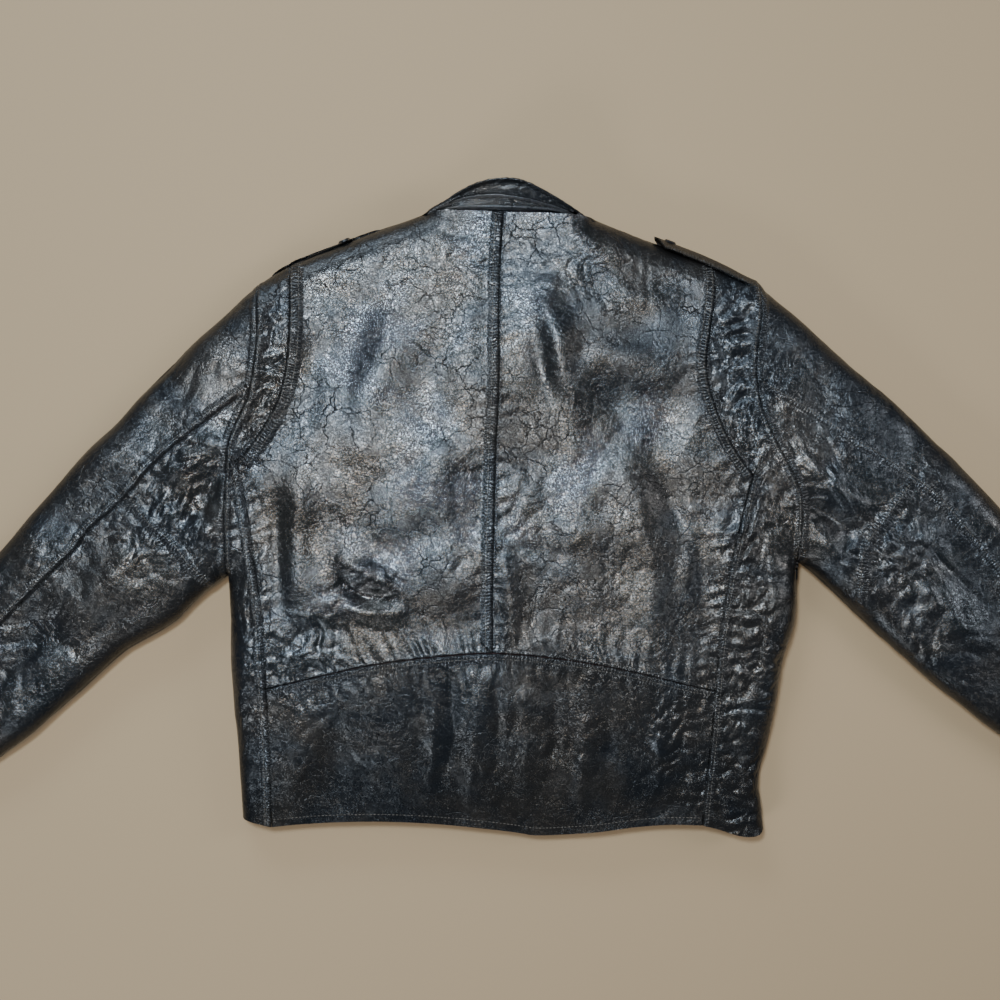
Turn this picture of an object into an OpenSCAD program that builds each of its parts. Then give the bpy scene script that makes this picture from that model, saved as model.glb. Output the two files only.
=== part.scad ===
// Leather motorcycle-style work jacket, lying face down and closed, with its back up.
// X runs across the jacket, +Y points to the collar, +Z up from the surface it lies on.
// "left" is the side on -X and "right" the side on +X, as they lie.

/* [Leather and cloth] */
// Thickness of one layer of leather
leather_t = 2; // [1.6:0.1:2.4]
// Thickness of the lining cloth
lining_t = 0.6; // [0.4:0.1:1]
// Clear space between two sewn panels
seam_gap = 0.1; // [0.05:0.05:0.2]
// Clear space where two pieces hinge against each other
joint_gap = 0.3; // [0.25:0.05:0.5]

/* [Loft of the closed jacket] */
// Height over the chest
body_h = 44; // [40:1:50]
// Height at the cuffs
cuff_h = 32; // [30:1:38]
// Height at the hem
hem_h = 30; // [28:1:36]
// How far the front stands off the surface around each zip
zip_rise = 6.4; // [6.2:0.1:7]

/* [Collar] */
// Height of the collar's fold above the surface
collar_top = 72; // [66:1:76]
// Height of the neck seam above the surface
neck_z = 43; // [43:0.5:45]

/* [Zips] */
// Distance from one zip tooth to the next on the same tape
tooth_pitch = 4; // [3.5:0.5:5]
// Length of each pocket zip
pocket_zip_len = 110; // [90:5:115]
// Length of each cuff zip
cuff_zip_len = 120; // [100:5:130]

/* [Hidden] */

BLACK = [0.07, 0.07, 0.08];
WORN = [0.11, 0.10, 0.10];
CLOTH = [0.22, 0.05, 0.05];
POCKET = [0.35, 0.33, 0.30];
NICKEL = [0.72, 0.72, 0.70];

// Landmarks of the outline, seen from above
NECK_L = [-91, 294];
NECK_R = [81, 288];
SHOULDER_L = [-256, 223];
SHOULDER_R = [244, 225];
ARMPIT_L = [-287, -68];
ARMPIT_R = [284, -54];
ELBOW_TOP_L = [-508, -36];
ELBOW_LOW_L = [-399, -154];
ELBOW_TOP_R = [500, -14];
ELBOW_LOW_R = [394, -150];
CUFF_TOP_L = [-704, -237];
CUFF_LOW_L = [-624, -326];
CUFF_TOP_R = [705, -217];
CUFF_LOW_R = [622, -303];
HEM_L = [-274, -315];
HEM_R = [251, -322];
// The front closes on this line
CENTRE_X = -8;
FRONT_NECK_Y = 250;

// Folded edges of the jacket, each running with the outside of the jacket on its right
SLEEVE_TOP_L = [SHOULDER_L, [-284, 198], [-342, 144], [-399, 83], [-438, 47], ELBOW_TOP_L];
FOREARM_TOP_L = [ELBOW_TOP_L, [-560, -92], CUFF_TOP_L];
FOREARM_LOW_L = [CUFF_LOW_L, [-514, -249], ELBOW_LOW_L];
SLEEVE_LOW_L = [ELBOW_LOW_L, [-376, -136], [-322, -95], ARMPIT_L];
SIDE_FOLD_L = [ARMPIT_L, [-285, -105], [-283, -182], [-276, -265], HEM_L];
SIDE_FOLD_R = [HEM_R, [245, -275], [257, -233], [270, -153], [284, -96], ARMPIT_R];
SLEEVE_LOW_R = [ARMPIT_R, [320, -84], [354, -117], ELBOW_LOW_R];
FOREARM_LOW_R = [ELBOW_LOW_R, [486, -228], CUFF_LOW_R];
FOREARM_TOP_R = [CUFF_TOP_R, [570, -84], ELBOW_TOP_R];
SLEEVE_TOP_R = [ELBOW_TOP_R, [444, 46], [381, 107], [320, 159], [282, 193], SHOULDER_R];
FOLDS = [[NECK_L, SHOULDER_L], SLEEVE_TOP_L, FOREARM_TOP_L, FOREARM_LOW_L, SLEEVE_LOW_L,
    SIDE_FOLD_L, SIDE_FOLD_R, SLEEVE_LOW_R, FOREARM_LOW_R, FOREARM_TOP_R, SLEEVE_TOP_R,
    [SHOULDER_R, NECK_R]];

// Seams of the back, from the hem up or from left to right
HEM = [[-243, -321], [-160, -318], [-103, -316], [-22, -328], [93, -325], [188, -320]];
WAIST = [[-246, -180], [-187, -166], [-93, -151], [-22, -147], [81, -157], [199, -183]];
CENTRE_MID = [[-22, -147], [-22, -60]];
CENTRE_TOP = [[-22, -60], [-18, 60], [-15, 180], [-12, 297]];
SIDE_LOW_L = [[-243, -321], [-243, -230], [-246, -180]];
SIDE_LOW_R = [[188, -320], [190, -280], [199, -183]];
SIDE_MID_L = [[-246, -180], [-251, -100], [-257, -68]];
SIDE_MID_R = [[199, -183], [205, -126], [220, -54]];
PLEAT_L = [[-257, -68], [-269, 50], [-239, 93], [-222, 140], [-222, 238]];
PLEAT_R = [[220, -54], [237, 35], [196, 110], [189, 150], [198, 243]];
BACK_NECK_L = [NECK_L, [-67, 301], [-12, 297]];
BACK_NECK_R = [[-12, 297], [46, 296], NECK_R];
// Upper ends of the armholes on the body's side
BODY_SHOULDER_L = SHOULDER_L + [joint_gap + 1.2, 0.5];
BODY_SHOULDER_R = SHOULDER_R + [-joint_gap - 1.2, 0.5];
// Where the front edges hinge when the jacket is opened
HINGE_FOOT_L = [-150, -317];
HINGE_FOOT_R = [134, -323];
// Seam under each sleeve and seam over it, at the armhole, elbow and cuff
SEAM_L = [lerp(ARMPIT_L, SHOULDER_L, 0.65), [-452, -96], [-660, -276]];
SEAM_R = [lerp(ARMPIT_R, SHOULDER_R, 0.63), [446, -84], [660, -256]];
UNDER_L = [lerp(ARMPIT_L, SHOULDER_L, 0.49), [-453, -95], [-664, -282]];
UNDER_R = [lerp(ARMPIT_R, SHOULDER_R, 0.495), [447, -82], [663, -260]];

// Pocket zips, from the slider's closed end to the other
POCKET_L = [[-200, -130], [-207, -238]];
POCKET_R = [[174, -132], [179, -240]];

// ---- curves and surfaces ----
function lerp(a, b, t) = a + (b - a) * t;
function ease(t) = let (c = min(1, max(0, t))) c * c * (3 - 2 * c);
function unit(v) = v / norm(v);
function run(c, i = 0) = i + 1 >= len(c) ? 0 : norm(c[i + 1] - c[i]) + run(c, i + 1);
function at_len(c, s, i = 0) =
    let (step = norm(c[i + 1] - c[i]))
    s <= step || i + 2 >= len(c) ? lerp(c[i], c[i + 1], min(1, max(0, s / step)))
    : at_len(c, s - step, i + 1);
function pick(c, ts) = let (total = run(c)) [for (t = ts) at_len(c, total * t)];
function steps(n) = [for (i = [0 : n]) i / n];
function walk(c, n) = pick(c, steps(n));
function join(a, b) = concat(a, [for (i = [1 : len(b) - 1]) b[i]]);
function back(c) = [for (i = [len(c) - 1 : -1 : 0]) c[i]];

FOLD_STEPS = [for (f = FOLDS) for (i = [0 : len(f) - 2]) [f[i], f[i + 1]]];
// Distance from a point to a folded edge, and which way is out of the jacket there
function to_step(p, a, b) =
    let (ab = b - a, t = min(1, max(0, ((p - a) * ab) / (ab * ab))))
    [norm(p - a - ab * t), ab[1] / norm(ab), -ab[0] / norm(ab)];
function to_fold(p) =
    let (all = [for (s = FOLD_STEPS) to_step(p, s[0], s[1])], d = min([for (a = all) a[0]]))
    [for (a = all) if (a[0] == d) a][0];

// Full height of the closed jacket over a point
function loft(p) =
    let (sleeve = ease((abs(p[0]) - 280) / 420), low = abs(p[0]) < 290 ? ease((-150 - p[1]) / 180) : 0)
    lerp(lerp(body_h, cuff_h, sleeve), hem_h, low);

CUFF_RUN_L = UNDER_L[1] - UNDER_L[2];
CUFF_RUN_R = UNDER_R[1] - UNDER_R[2];
ZIP_LINES = [[[CENTRE_X, 290], [CENTRE_X, -340]], [POCKET_L[0] + [0, 30], POCKET_L[1] - [0, 30]],
    [POCKET_R[0] + [0, 30], POCKET_R[1] - [0, 30]],
    [UNDER_L[2] - unit(CUFF_RUN_L) * 30, UNDER_L[2] + unit(CUFF_RUN_L) * 180],
    [UNDER_R[2] - unit(CUFF_RUN_R) * 30, UNDER_R[2] + unit(CUFF_RUN_R) * 180]];
function rise(p) =
    let (d = min([for (z = ZIP_LINES) to_step(p, z[0], z[1])[0]]))
    zip_rise * ease((30 - d) / 14);

// Point on the jacket's skin: up is 1 for the back layer and -1 for the front one,
// and off is how deep it lies under the outer face
function skin(p, up, off) =
    let (n = to_fold(p), h = loft(p) / 2, q = 1 - min(1, n[0] / h), c = sqrt(max(0, 1 - q * q)))
    [p[0] - n[1] * q * off, p[1] - n[2] * q * off,
    h + up * c * (h - off) + (up < 0 ? rise(p) * (1 - q) : 0)];

// Plan of a four-sided panel from its edges, each with as many points as the one across
function coons(b, t, l, r) =
    let (n = len(b) - 1, m = len(l) - 1)
    [for (i = [0 : m]) [for (j = [0 : n]) let (u = share(b, j), v = share(l, i))
        b[j] * (1 - v) + t[j] * v + l[i] * (1 - u) + r[i] * u
        - b[0] * (1 - u) * (1 - v) - b[n] * u * (1 - v) - t[0] * (1 - u) * v - t[n] * u * v]];
function share(c, k) = run([for (i = [0 : k]) c[i]]) / run(c);

function nudge(a, b, g) = a + (b - a) * g / norm(b - a);
function trim_row(r, g) = let (n = len(r) - 1)
    [for (j = [0 : n]) j == 0 ? nudge(r[0], r[1], g) : j == n ? nudge(r[n], r[n - 1], g) : r[j]];
function trim(grid, g) = let (q = [for (r = grid) trim_row(r, g)], m = len(q) - 1)
    [for (i = [0 : m]) i == 0 ? [for (j = [0 : len(q[0]) - 1]) nudge(q[0][j], q[1][j], g)]
        : i == m ? [for (j = [0 : len(q[0]) - 1]) nudge(q[m][j], q[m - 1][j], g)] : q[i]];

// Closed shell between two grids of points; up is 1 where the first grid's first cell faces up
module sheet(outer, inner, up) {
    m = len(outer) - 1;
    n = len(outer[0]) - 1;
    w = n + 1;
    half = (m + 1) * w;
    along = outer[0][1] - outer[0][0];
    across = outer[1][0] - outer[0][0];
    turn = (along[0] * across[1] - along[1] * across[0]) * up;
    face = [for (i = [0 : m - 1]) for (j = [0 : n - 1]) let (k = i * w + j)
        each [[k, k + w, k + w + 1], [k, k + w + 1, k + 1]]];
    lining = [for (f = face) [f[0] + half, f[2] + half, f[1] + half]];
    rim = concat([for (j = [0 : n - 1]) j], [for (i = [0 : m - 1]) i * w + n],
        [for (j = [n : -1 : 1]) m * w + j], [for (i = [m : -1 : 1]) i * w]);
    edge = [for (k = [0 : len(rim) - 1]) let (p = rim[k], q = rim[(k + 1) % len(rim)])
        each [[p, q, q + half], [p, q + half, p + half]]];
    faces = concat(face, lining, edge);
    polyhedron(points = concat([for (r = outer) for (p = r) p], [for (r = inner) for (p = r) p]),
        faces = turn > 0 ? faces : [for (f = faces) [f[0], f[2], f[1]]]);
}

// Closed sleeve of cloth between two grids whose rows are closed rings
module tube(outer, inner) {
    m = len(outer) - 1;
    w = len(outer[0]);
    half = (m + 1) * w;
    along = outer[0][1] - outer[0][0];
    across = outer[1][0] - outer[0][0];
    turn = along[0] * across[1] - along[1] * across[0];
    face = [for (i = [0 : m - 1]) for (j = [0 : w - 1]) let (k = i * w + j, l = i * w + (j + 1) % w)
        each [[k, k + w, l + w], [k, l + w, l]]];
    lining = [for (f = face) [f[0] + half, f[2] + half, f[1] + half]];
    ends = [for (j = [0 : w - 1]) let (p = j, q = (j + 1) % w, s = m * w + q, t = m * w + j)
        each [[p, q, q + half], [p, q + half, p + half], [s, t, t + half], [s, t + half, s + half]]];
    faces = concat(face, lining, ends);
    polyhedron(points = concat([for (r = outer) for (p = r) p], [for (r = inner) for (p = r) p]),
        faces = turn > 0 ? faces : [for (f = faces) [f[0], f[2], f[1]]]);
}

// A flat-lying panel of the back (up = 1) or front (up = -1)
module panel(b, t, l, r, up, off = 0, thick = leather_t, gap = seam_gap) {
    plan = coons(b, t, l, r);
    outer = [for (row = plan) [for (p = row) skin(p, up, off)]];
    inner = [for (row = plan) [for (p = row) skin(p, up, off + thick)]];
    sheet(trim(outer, gap), trim(inner, gap), up);
}

// Section of a panel that wraps a folded edge: over seam, fold, under seam
WRAP_STEPS = 6;
function over(s, e, off) =
    [for (k = [0 : WRAP_STEPS]) skin(lerp(e, s, 1 - sin(90 * k / WRAP_STEPS)), 1, off)];
function under(s, e, off) =
    [for (k = [0 : WRAP_STEPS]) skin(lerp(e, s, 1 - sin(90 * k / WRAP_STEPS)), -1, off)];
function wrap(top, fold, low, off) =
    [for (i = [0 : len(fold) - 1]) join(over(top[i], fold[i], off), back(under(low[i], fold[i], off)))];
module wrapped(top, fold, low, gap = seam_gap) {
    sheet(trim(wrap(top, fold, low, 0), gap), trim(wrap(top, fold, low, leather_t), gap), 1);
}

// A sleeve's whole section at one station, as a closed ring
function cut(c, a, b) = [for (i = [a : b]) c[i]];
function ring(top, low, high, bottom, off) = concat(over(top, high, off),
    cut(back(under(low, high, off)), 1, WRAP_STEPS), cut(under(low, bottom, off), 1, WRAP_STEPS),
    cut(back(over(top, bottom, off)), 1, WRAP_STEPS - 1));
function rings(top, low, high, bottom, off) =
    [for (i = [0 : len(top) - 1]) ring(top[i], low[i], high[i], bottom[i], off)];

// ---- back ----
LOW = 5;
MID = 3;
TOP = 7;
// Side seam and fold under the arm share their levels with the back panels
SEAM_SIDE_L = join(walk(SIDE_LOW_L, LOW), walk(SIDE_MID_L, MID));
SEAM_SIDE_R = join(walk(SIDE_LOW_R, LOW), walk(SIDE_MID_R, MID));
EDGE_SIDE_L = walk(back(SIDE_FOLD_L), LOW + MID);
EDGE_SIDE_R = walk(SIDE_FOLD_R, LOW + MID);
CENTRE = join(walk(CENTRE_MID, MID), walk(CENTRE_TOP, TOP));

// Waist seam, left and right of the centre seam
WAIST_L = walk(cut(WAIST, 0, 3), 5);
WAIST_R = walk(cut(WAIST, 3, 5), 5);
// Shoulder line, from the pleat to the neck, then the back neck
SHOULDER_IN_L = lerp(NECK_L, SHOULDER_L, 0.79);
SHOULDER_IN_R = lerp(NECK_R, SHOULDER_R, 0.72);
BACK_TOP_L = join(walk([SHOULDER_IN_L, NECK_L], 3), walk(BACK_NECK_L, 2));
BACK_TOP_R = join(walk(BACK_NECK_R, 2), walk([NECK_R, SHOULDER_IN_R], 3));
PLEAT_TOP_L = concat(cut(PLEAT_L, 0, 3), [SHOULDER_IN_L]);
PLEAT_TOP_R = concat(cut(PLEAT_R, 0, 3), [SHOULDER_IN_R]);

module back_panel_left() {
    color(BLACK) panel(WAIST_L, BACK_TOP_L,
        join(walk(SIDE_MID_L, MID), walk(PLEAT_TOP_L, TOP)), CENTRE, 1);
}

module back_panel_right() {
    color(BLACK) panel(WAIST_R, BACK_TOP_R, CENTRE,
        join(walk(SIDE_MID_R, MID), walk(PLEAT_TOP_R, TOP)), 1);
}

module lower_back_panel() {
    color(BLACK) panel(join(walk(cut(HEM, 0, 3), 5), walk(cut(HEM, 3, 5), 5)), join(WAIST_L, WAIST_R),
        walk(SIDE_LOW_L, LOW), walk(SIDE_LOW_R, LOW), 1);
}

// The folded strip that lets the arms reach forward, between back panel and armhole
module action_pleat_left() {
    color(WORN) panel([ARMPIT_L + [joint_gap, 0], PLEAT_L[0]], [BODY_SHOULDER_L, SHOULDER_IN_L],
        walk([ARMPIT_L + [joint_gap, 0], BODY_SHOULDER_L], TOP), walk(PLEAT_TOP_L, TOP), 1);
}

module action_pleat_right() {
    color(WORN) panel([PLEAT_R[0], ARMPIT_R - [joint_gap, 0]], [SHOULDER_IN_R, BODY_SHOULDER_R],
        walk(PLEAT_TOP_R, TOP), walk([ARMPIT_R - [joint_gap, 0], BODY_SHOULDER_R], TOP), 1);
}

// Side panels wrap the fold under the arm and meet the front panels underneath
UNDER_SIDE_L = walk([ARMPIT_L + [2, 0], HEM_L + [26, -6]], LOW + MID);
UNDER_SIDE_R = walk([ARMPIT_R - [2, 0], HEM_R - [26, 0]], LOW + MID);

module side_panel_left() {
    color(BLACK) wrapped(back(SEAM_SIDE_L), back(EDGE_SIDE_L), UNDER_SIDE_L);
}

module side_panel_right() {
    color(BLACK) wrapped(back(SEAM_SIDE_R), back(EDGE_SIDE_R), UNDER_SIDE_R);
}

LINING_LOW = [HEM_L + [34, 30], [-22, -290], HEM_R + [-36, 34]];
LINING_HIGH = [[-196, 188], [-14, 246], [182, 188]];
module back_lining() {
    left = [LINING_LOW[0], [-228, -150], [-238, 30], LINING_HIGH[0]];
    right = [LINING_LOW[2], [190, -150], [202, 30], LINING_HIGH[2]];
    depth = leather_t + 4.6;
    color(CLOTH)
        panel(walk(LINING_LOW, 4), walk(LINING_HIGH, 4), walk(left, 14), walk(right, 14), 1, depth, lining_t);
}

// Turned-up strip of leather along the inside of the hem
module hem_facing() {
    color(BLACK) panel([[-230, -316], [-100, -313], [-22, -322], [93, -320], [180, -314]],
        [[-230, -292], [-100, -291], [-22, -294], [93, -294], [180, -290]],
        [[-230, -316], [-230, -292]], [[180, -314], [180, -290]], 1, leather_t + 0.8, 1.2);
}

// Loop inside the neck, to hang the jacket by
module hanger_loop() {
    color(WORN) translate([-12, 284, body_h - leather_t - 9]) rotate([0, 0, 180])
        rotate_extrude(angle = 180, $fn = 48) translate([24, 0]) square([6, 1.6]);
}

// ---- front ----
FRONT_ROWS = 6;
function hinge_l(side) = [HINGE_FOOT_L + [side, 0], NECK_L + [side, 0]];
function hinge_r(side) = [HINGE_FOOT_R + [side, 0], NECK_R + [side, 0]];
COLUMNS = [0, 0.2, 0.38, 0.5, 0.62, 0.8, 1];

module front_panel_left() {
    hem = [HEM_L + [26, -6], HINGE_FOOT_L - [joint_gap / 2, 0]];
    shoulder = [BODY_SHOULDER_L, NECK_L - [joint_gap / 2, 0]];
    armhole = [ARMPIT_L + [joint_gap, 0], BODY_SHOULDER_L];
    side = join(back(UNDER_SIDE_L), walk(armhole, FRONT_ROWS));
    color(BLACK) panel(pick(hem, COLUMNS), pick(shoulder, COLUMNS), side,
        walk(hinge_l(-joint_gap / 2), LOW + MID + FRONT_ROWS), -1);
}

module front_panel_right() {
    hem = [HINGE_FOOT_R + [joint_gap / 2, 0], HEM_R - [26, 0]];
    shoulder = [NECK_R + [joint_gap / 2, 0], BODY_SHOULDER_R];
    armhole = [ARMPIT_R - [joint_gap, 0], BODY_SHOULDER_R];
    side = join(back(UNDER_SIDE_R), walk(armhole, FRONT_ROWS));
    color(BLACK) panel(pick(hem, COLUMNS), pick(shoulder, COLUMNS),
        walk(hinge_r(joint_gap / 2), LOW + MID + FRONT_ROWS), side, -1);
}

// From the middle of the front zip to the leather beside it, and columns of an opening front edge
ZIP_EDGE = 5;
EDGE_COLUMNS = [0, 0.35, 0.7, 0.88, 1];

// How far the cloth facings hang inside the leather
FACING_IN = 4.2;
// Front edges, from the hinge line to the zip; the side argument is -1 left and 1 right,
// and drop is how far below the neck it starts
module front_edge(side, off, thick, inset, drop) {
    foot = side < 0 ? HINGE_FOOT_L : HINGE_FOOT_R;
    neck = side < 0 ? NECK_L : NECK_R;
    near = -side * (joint_gap / 2 + inset);
    zip_x = CENTRE_X + side * ZIP_EDGE;
    hem = [foot + [near, inset], [zip_x, foot[1] + inset]];
    dip = lerp(neck, [zip_x, FRONT_NECK_Y], 0.6) - [0, 8 + inset];
    top = [neck + [near, -drop], dip, [zip_x, FRONT_NECK_Y - inset]];
    hinge = walk([hem[0], top[0]], LOW + MID + FRONT_ROWS);
    zip = walk([hem[1], top[2]], LOW + MID + FRONT_ROWS);
    if (side < 0) panel(pick(hem, EDGE_COLUMNS), pick(top, EDGE_COLUMNS), hinge, zip, -1, off, thick);
    else panel(back(pick(hem, EDGE_COLUMNS)), back(pick(top, EDGE_COLUMNS)), zip, hinge, -1, off, thick);
}

module front_edge_left() { color(BLACK) front_edge(-1, 0, leather_t, 0, 0); }
module front_edge_right() { color(BLACK) front_edge(1, 0, leather_t, 0, 0); }
module front_facing_left() { color(CLOTH) front_edge(-1, leather_t + FACING_IN, lining_t, 12, 50); }
module front_facing_right() { color(CLOTH) front_edge(1, leather_t + FACING_IN, lining_t, 12, 50); }

// Zip halves: a tape with a row of teeth that reach past the middle between the other side's
TEETH_Z = 3;
TEETH_T = 2;
TOOTH_REACH = 1.2;
TOOTH_IN = 2.6;
CHAIN_HALF = 4;
module zip_half(length, side, phase) {
    half = tooth_pitch * 0.22;
    count = floor(length / tooth_pitch) - 1;
    translate([0, 0, TEETH_Z]) linear_extrude(TEETH_T) polygon(concat(
        [[side * TOOTH_IN, 0]],
        [for (k = [0 : count - 1]) let (y = (k + 0.5 + phase) * tooth_pitch)
            each [[side * TOOTH_IN, y - half], [-side * TOOTH_REACH, y - half],
                [-side * TOOTH_REACH, y + half], [side * TOOTH_IN, y + half]]],
        [[side * TOOTH_IN, length], [side * CHAIN_HALF, length], [side * CHAIN_HALF, 0]]));
}

FRONT_ZIP_FOOT = -312;
FRONT_ZIP_LEN = 556;
module front_zip_chain_left() {
    color(NICKEL) translate([CENTRE_X, FRONT_ZIP_FOOT, 0]) zip_half(FRONT_ZIP_LEN, -1, 0);
}
module front_zip_chain_right() {
    color(NICKEL) translate([CENTRE_X, FRONT_ZIP_FOOT, 0]) zip_half(FRONT_ZIP_LEN, 1, 0.5);
}

// A closed zip along +Y from the origin, both halves together as one chain
module zip_chain(length) {
    translate([0, 0, TEETH_Z]) linear_extrude(TEETH_T) difference() {
        translate([-CHAIN_HALF, 0]) square([2 * CHAIN_HALF, length]);
        for (k = [1 : floor(length / tooth_pitch / 2) - 1])
            translate([-1.5, k * tooth_pitch * 2]) square([3, 1.2]);
    }
}
// Slider that runs under the chain, with a cheek each side of it
module zip_slider() {
    difference() {
        translate([-5.5, 0, 1.4]) cube([11, 12, 3.4]);
        translate([-4.4, -1, 2.6]) cube([8.8, 14, 3]);
    }
    translate([0, 3, 1.1]) rotate([0, 90, 0]) cylinder(r = 0.6, h = 7, center = true, $fn = 24);
}
// Pull tab, flat under the slider and back along the zip
module zip_pull(length) {
    difference() {
        translate([-3.5, 4.2, 0.3]) cube([7, length, 0.8]);
        translate([0, length, 0]) cylinder(r = 1.8, h = 3, $fn = 32);
    }
}

// Turns a zip drawn along +Y so that it runs from a to b
module along(a, b) {
    d = b - a;
    translate([a[0], a[1], 0]) rotate([0, 0, atan2(d[1], d[0]) - 90]) children();
}

module pocket_zip_left() { color(NICKEL) along(POCKET_L[0], POCKET_L[1]) zip_chain(pocket_zip_len); }
module pocket_zip_right() { color(NICKEL) along(POCKET_R[0], POCKET_R[1]) zip_chain(pocket_zip_len); }
module pocket_slider_left() { color(NICKEL) along(POCKET_L[0], POCKET_L[1]) zip_slider(); }
module pocket_slider_right() { color(NICKEL) along(POCKET_R[0], POCKET_R[1]) zip_slider(); }
module pocket_pull_left() { color(NICKEL) along(POCKET_L[0], POCKET_L[1]) zip_pull(18); }
module pocket_pull_right() { color(NICKEL) along(POCKET_R[0], POCKET_R[1]) zip_pull(18); }

// The front zip is drawn from the neck down
module front_zip() {
    translate([CENTRE_X, FRONT_ZIP_FOOT + FRONT_ZIP_LEN, 0]) rotate([0, 0, 180]) children();
}
module front_zip_slider() { color(NICKEL) front_zip() zip_slider(); }
module front_zip_pull() { color(NICKEL) front_zip() zip_pull(26); }

CUFF_IN = 14;
function cuff_start(under) = under[2] + unit(under[1] - under[2]) * CUFF_IN;
module cuff_zip_left() { color(NICKEL) along(cuff_start(UNDER_L), UNDER_L[1]) zip_chain(cuff_zip_len); }
module cuff_zip_right() { color(NICKEL) along(cuff_start(UNDER_R), UNDER_R[1]) zip_chain(cuff_zip_len); }
module cuff_slider_left() { color(NICKEL) along(cuff_start(UNDER_L), UNDER_L[1]) zip_slider(); }
module cuff_slider_right() { color(NICKEL) along(cuff_start(UNDER_R), UNDER_R[1]) zip_slider(); }
module cuff_pull_left() { color(NICKEL) along(cuff_start(UNDER_L), UNDER_L[1]) zip_pull(18); }
module cuff_pull_right() { color(NICKEL) along(cuff_start(UNDER_R), UNDER_R[1]) zip_pull(18); }

// Pouches of cloth inside the pockets
module pocket_bag(at) {
    color(POCKET) translate([at[0], at[1], zip_rise + leather_t + 1.5]) linear_extrude(3)
        polygon([[-20, 0], [20, 0], [24, -80], [20, -116], [-18, -116], [-22, -80]]);
}
module pocket_bag_left() { pocket_bag(POCKET_L[0] + [6, 0]); }
module pocket_bag_right() { pocket_bag(POCKET_R[0] - [6, 0]); }

// ---- collar ----
NECK_SEAM = [[-72, 302.5], [-40, 303], [-12, 301], [20, 300.5], [46, 300], [62, 298.5]];
CREST = [[-66, 311], [-44, 324], [-12, 330], [14, 326], [40, 315], [62, 303]];
COLLAR_T = 3;
LEAF_T = 2.4;
function crest_z(u) = lerp(neck_z + 6, collar_top, sin(180 * min(1, max(0, u * 0.86 + 0.07))));
module collar_wall(out, thick, low_from, reach) {
    n = 12;
    seam = walk(NECK_SEAM, n);
    crest = walk(CREST, n);
    face = [for (v = [0 : 3]) [for (j = [0 : n])
        let (top = [crest[j][0], crest[j][1], crest_z(j / n)], foot = [seam[j][0], seam[j][1], neck_z + 2.6],
            f = low_from + reach * v / 3)
        lerp(foot, top, f) + [0, -out * 0.7, out * 0.7]]];
    rear = [for (row = face) [for (p = row) p + [0, thick * 0.7, -thick * 0.7]]];
    sheet(face, rear, 1);
}
module collar_stand() { color(BLACK) collar_wall(0, COLLAR_T, 0, 0.97); }
module collar_leaf() { color(WORN) collar_wall(LEAF_T + 0.5, LEAF_T, 0.36, 0.62); }

module collar_front(side) {
    neck = side < 0 ? NECK_L : NECK_R;
    zip_x = CENTRE_X + side * ZIP_EDGE;
    dip = lerp(neck, [zip_x, FRONT_NECK_Y], 0.6) - [0, 5];
    low = walk([neck - [side * 14, 4.6], dip, [zip_x, FRONT_NECK_Y + 1.4]], 6);
    high = walk([neck - [side * 10, 1], lerp(neck, [zip_x, 286], 0.6), [zip_x, 286]], 6);
    outer_end = walk([low[0], high[0]], 2);
    zip_end = walk([low[6], high[6]], 2);
    if (side < 0) panel(low, high, outer_end, zip_end, -1);
    else panel(back(low), back(high), zip_end, outer_end, -1);
}
module collar_front_left() { color(BLACK) collar_front(-1); }
module collar_front_right() { color(BLACK) collar_front(1); }

// ---- epaulets ----
STRAP_LEN = 112;
STRAP_W = 40;
STRAP_T = 3;
STRAP_OUT = 8;
STRAP_LEAN = 13;
// Puts a strap drawn along +X, standing in the XZ plane with its outside on +Y, on a shoulder line
module on_shoulder(side) {
    shoulder = side < 0 ? SHOULDER_L : SHOULDER_R;
    neck = side < 0 ? NECK_L : NECK_R;
    d = neck - shoulder;
    translate([shoulder[0], shoulder[1], 4]) rotate([0, 0, atan2(d[1], d[0])])
        mirror([0, side > 0 ? 1 : 0, 0]) translate([0, STRAP_OUT, 0]) rotate([STRAP_LEAN, 0, 0]) children();
}
SNAP_X = STRAP_LEN - 16;
module epaulet() {
    rotate([90, 0, 0]) translate([0, 0, -STRAP_T]) linear_extrude(STRAP_T) difference() {
        polygon([[2, 0], [STRAP_LEN - 12, 3], [STRAP_LEN, STRAP_W / 2], [STRAP_LEN - 12, STRAP_W - 3],
            [2, STRAP_W]]);
        translate([SNAP_X, STRAP_W / 2]) circle(r = 2.4, $fn = 32);
    }
}
module snap_cap() {
    translate([SNAP_X, 0, STRAP_W / 2]) rotate([-90, 0, 0]) {
        translate([0, 0, STRAP_T]) cylinder(r1 = 6.5, r2 = 5, h = 1.8, $fn = 32);
        cylinder(r = 2.3, h = STRAP_T, $fn = 32);
    }
}
module snap_stud() {
    translate([SNAP_X, -0.4, STRAP_W / 2]) rotate([90, 0, 0]) cylinder(r = 4, h = 2, $fn = 32);
}
module epaulet_left() { color(BLACK) on_shoulder(-1) epaulet(); }
module epaulet_right() { color(BLACK) on_shoulder(1) epaulet(); }
module epaulet_snap_cap_left() { color(NICKEL) on_shoulder(-1) snap_cap(); }
module epaulet_snap_cap_right() { color(NICKEL) on_shoulder(1) snap_cap(); }
module epaulet_snap_studs() { color(NICKEL) for (side = [-1, 1]) on_shoulder(side) snap_stud(); }

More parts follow.
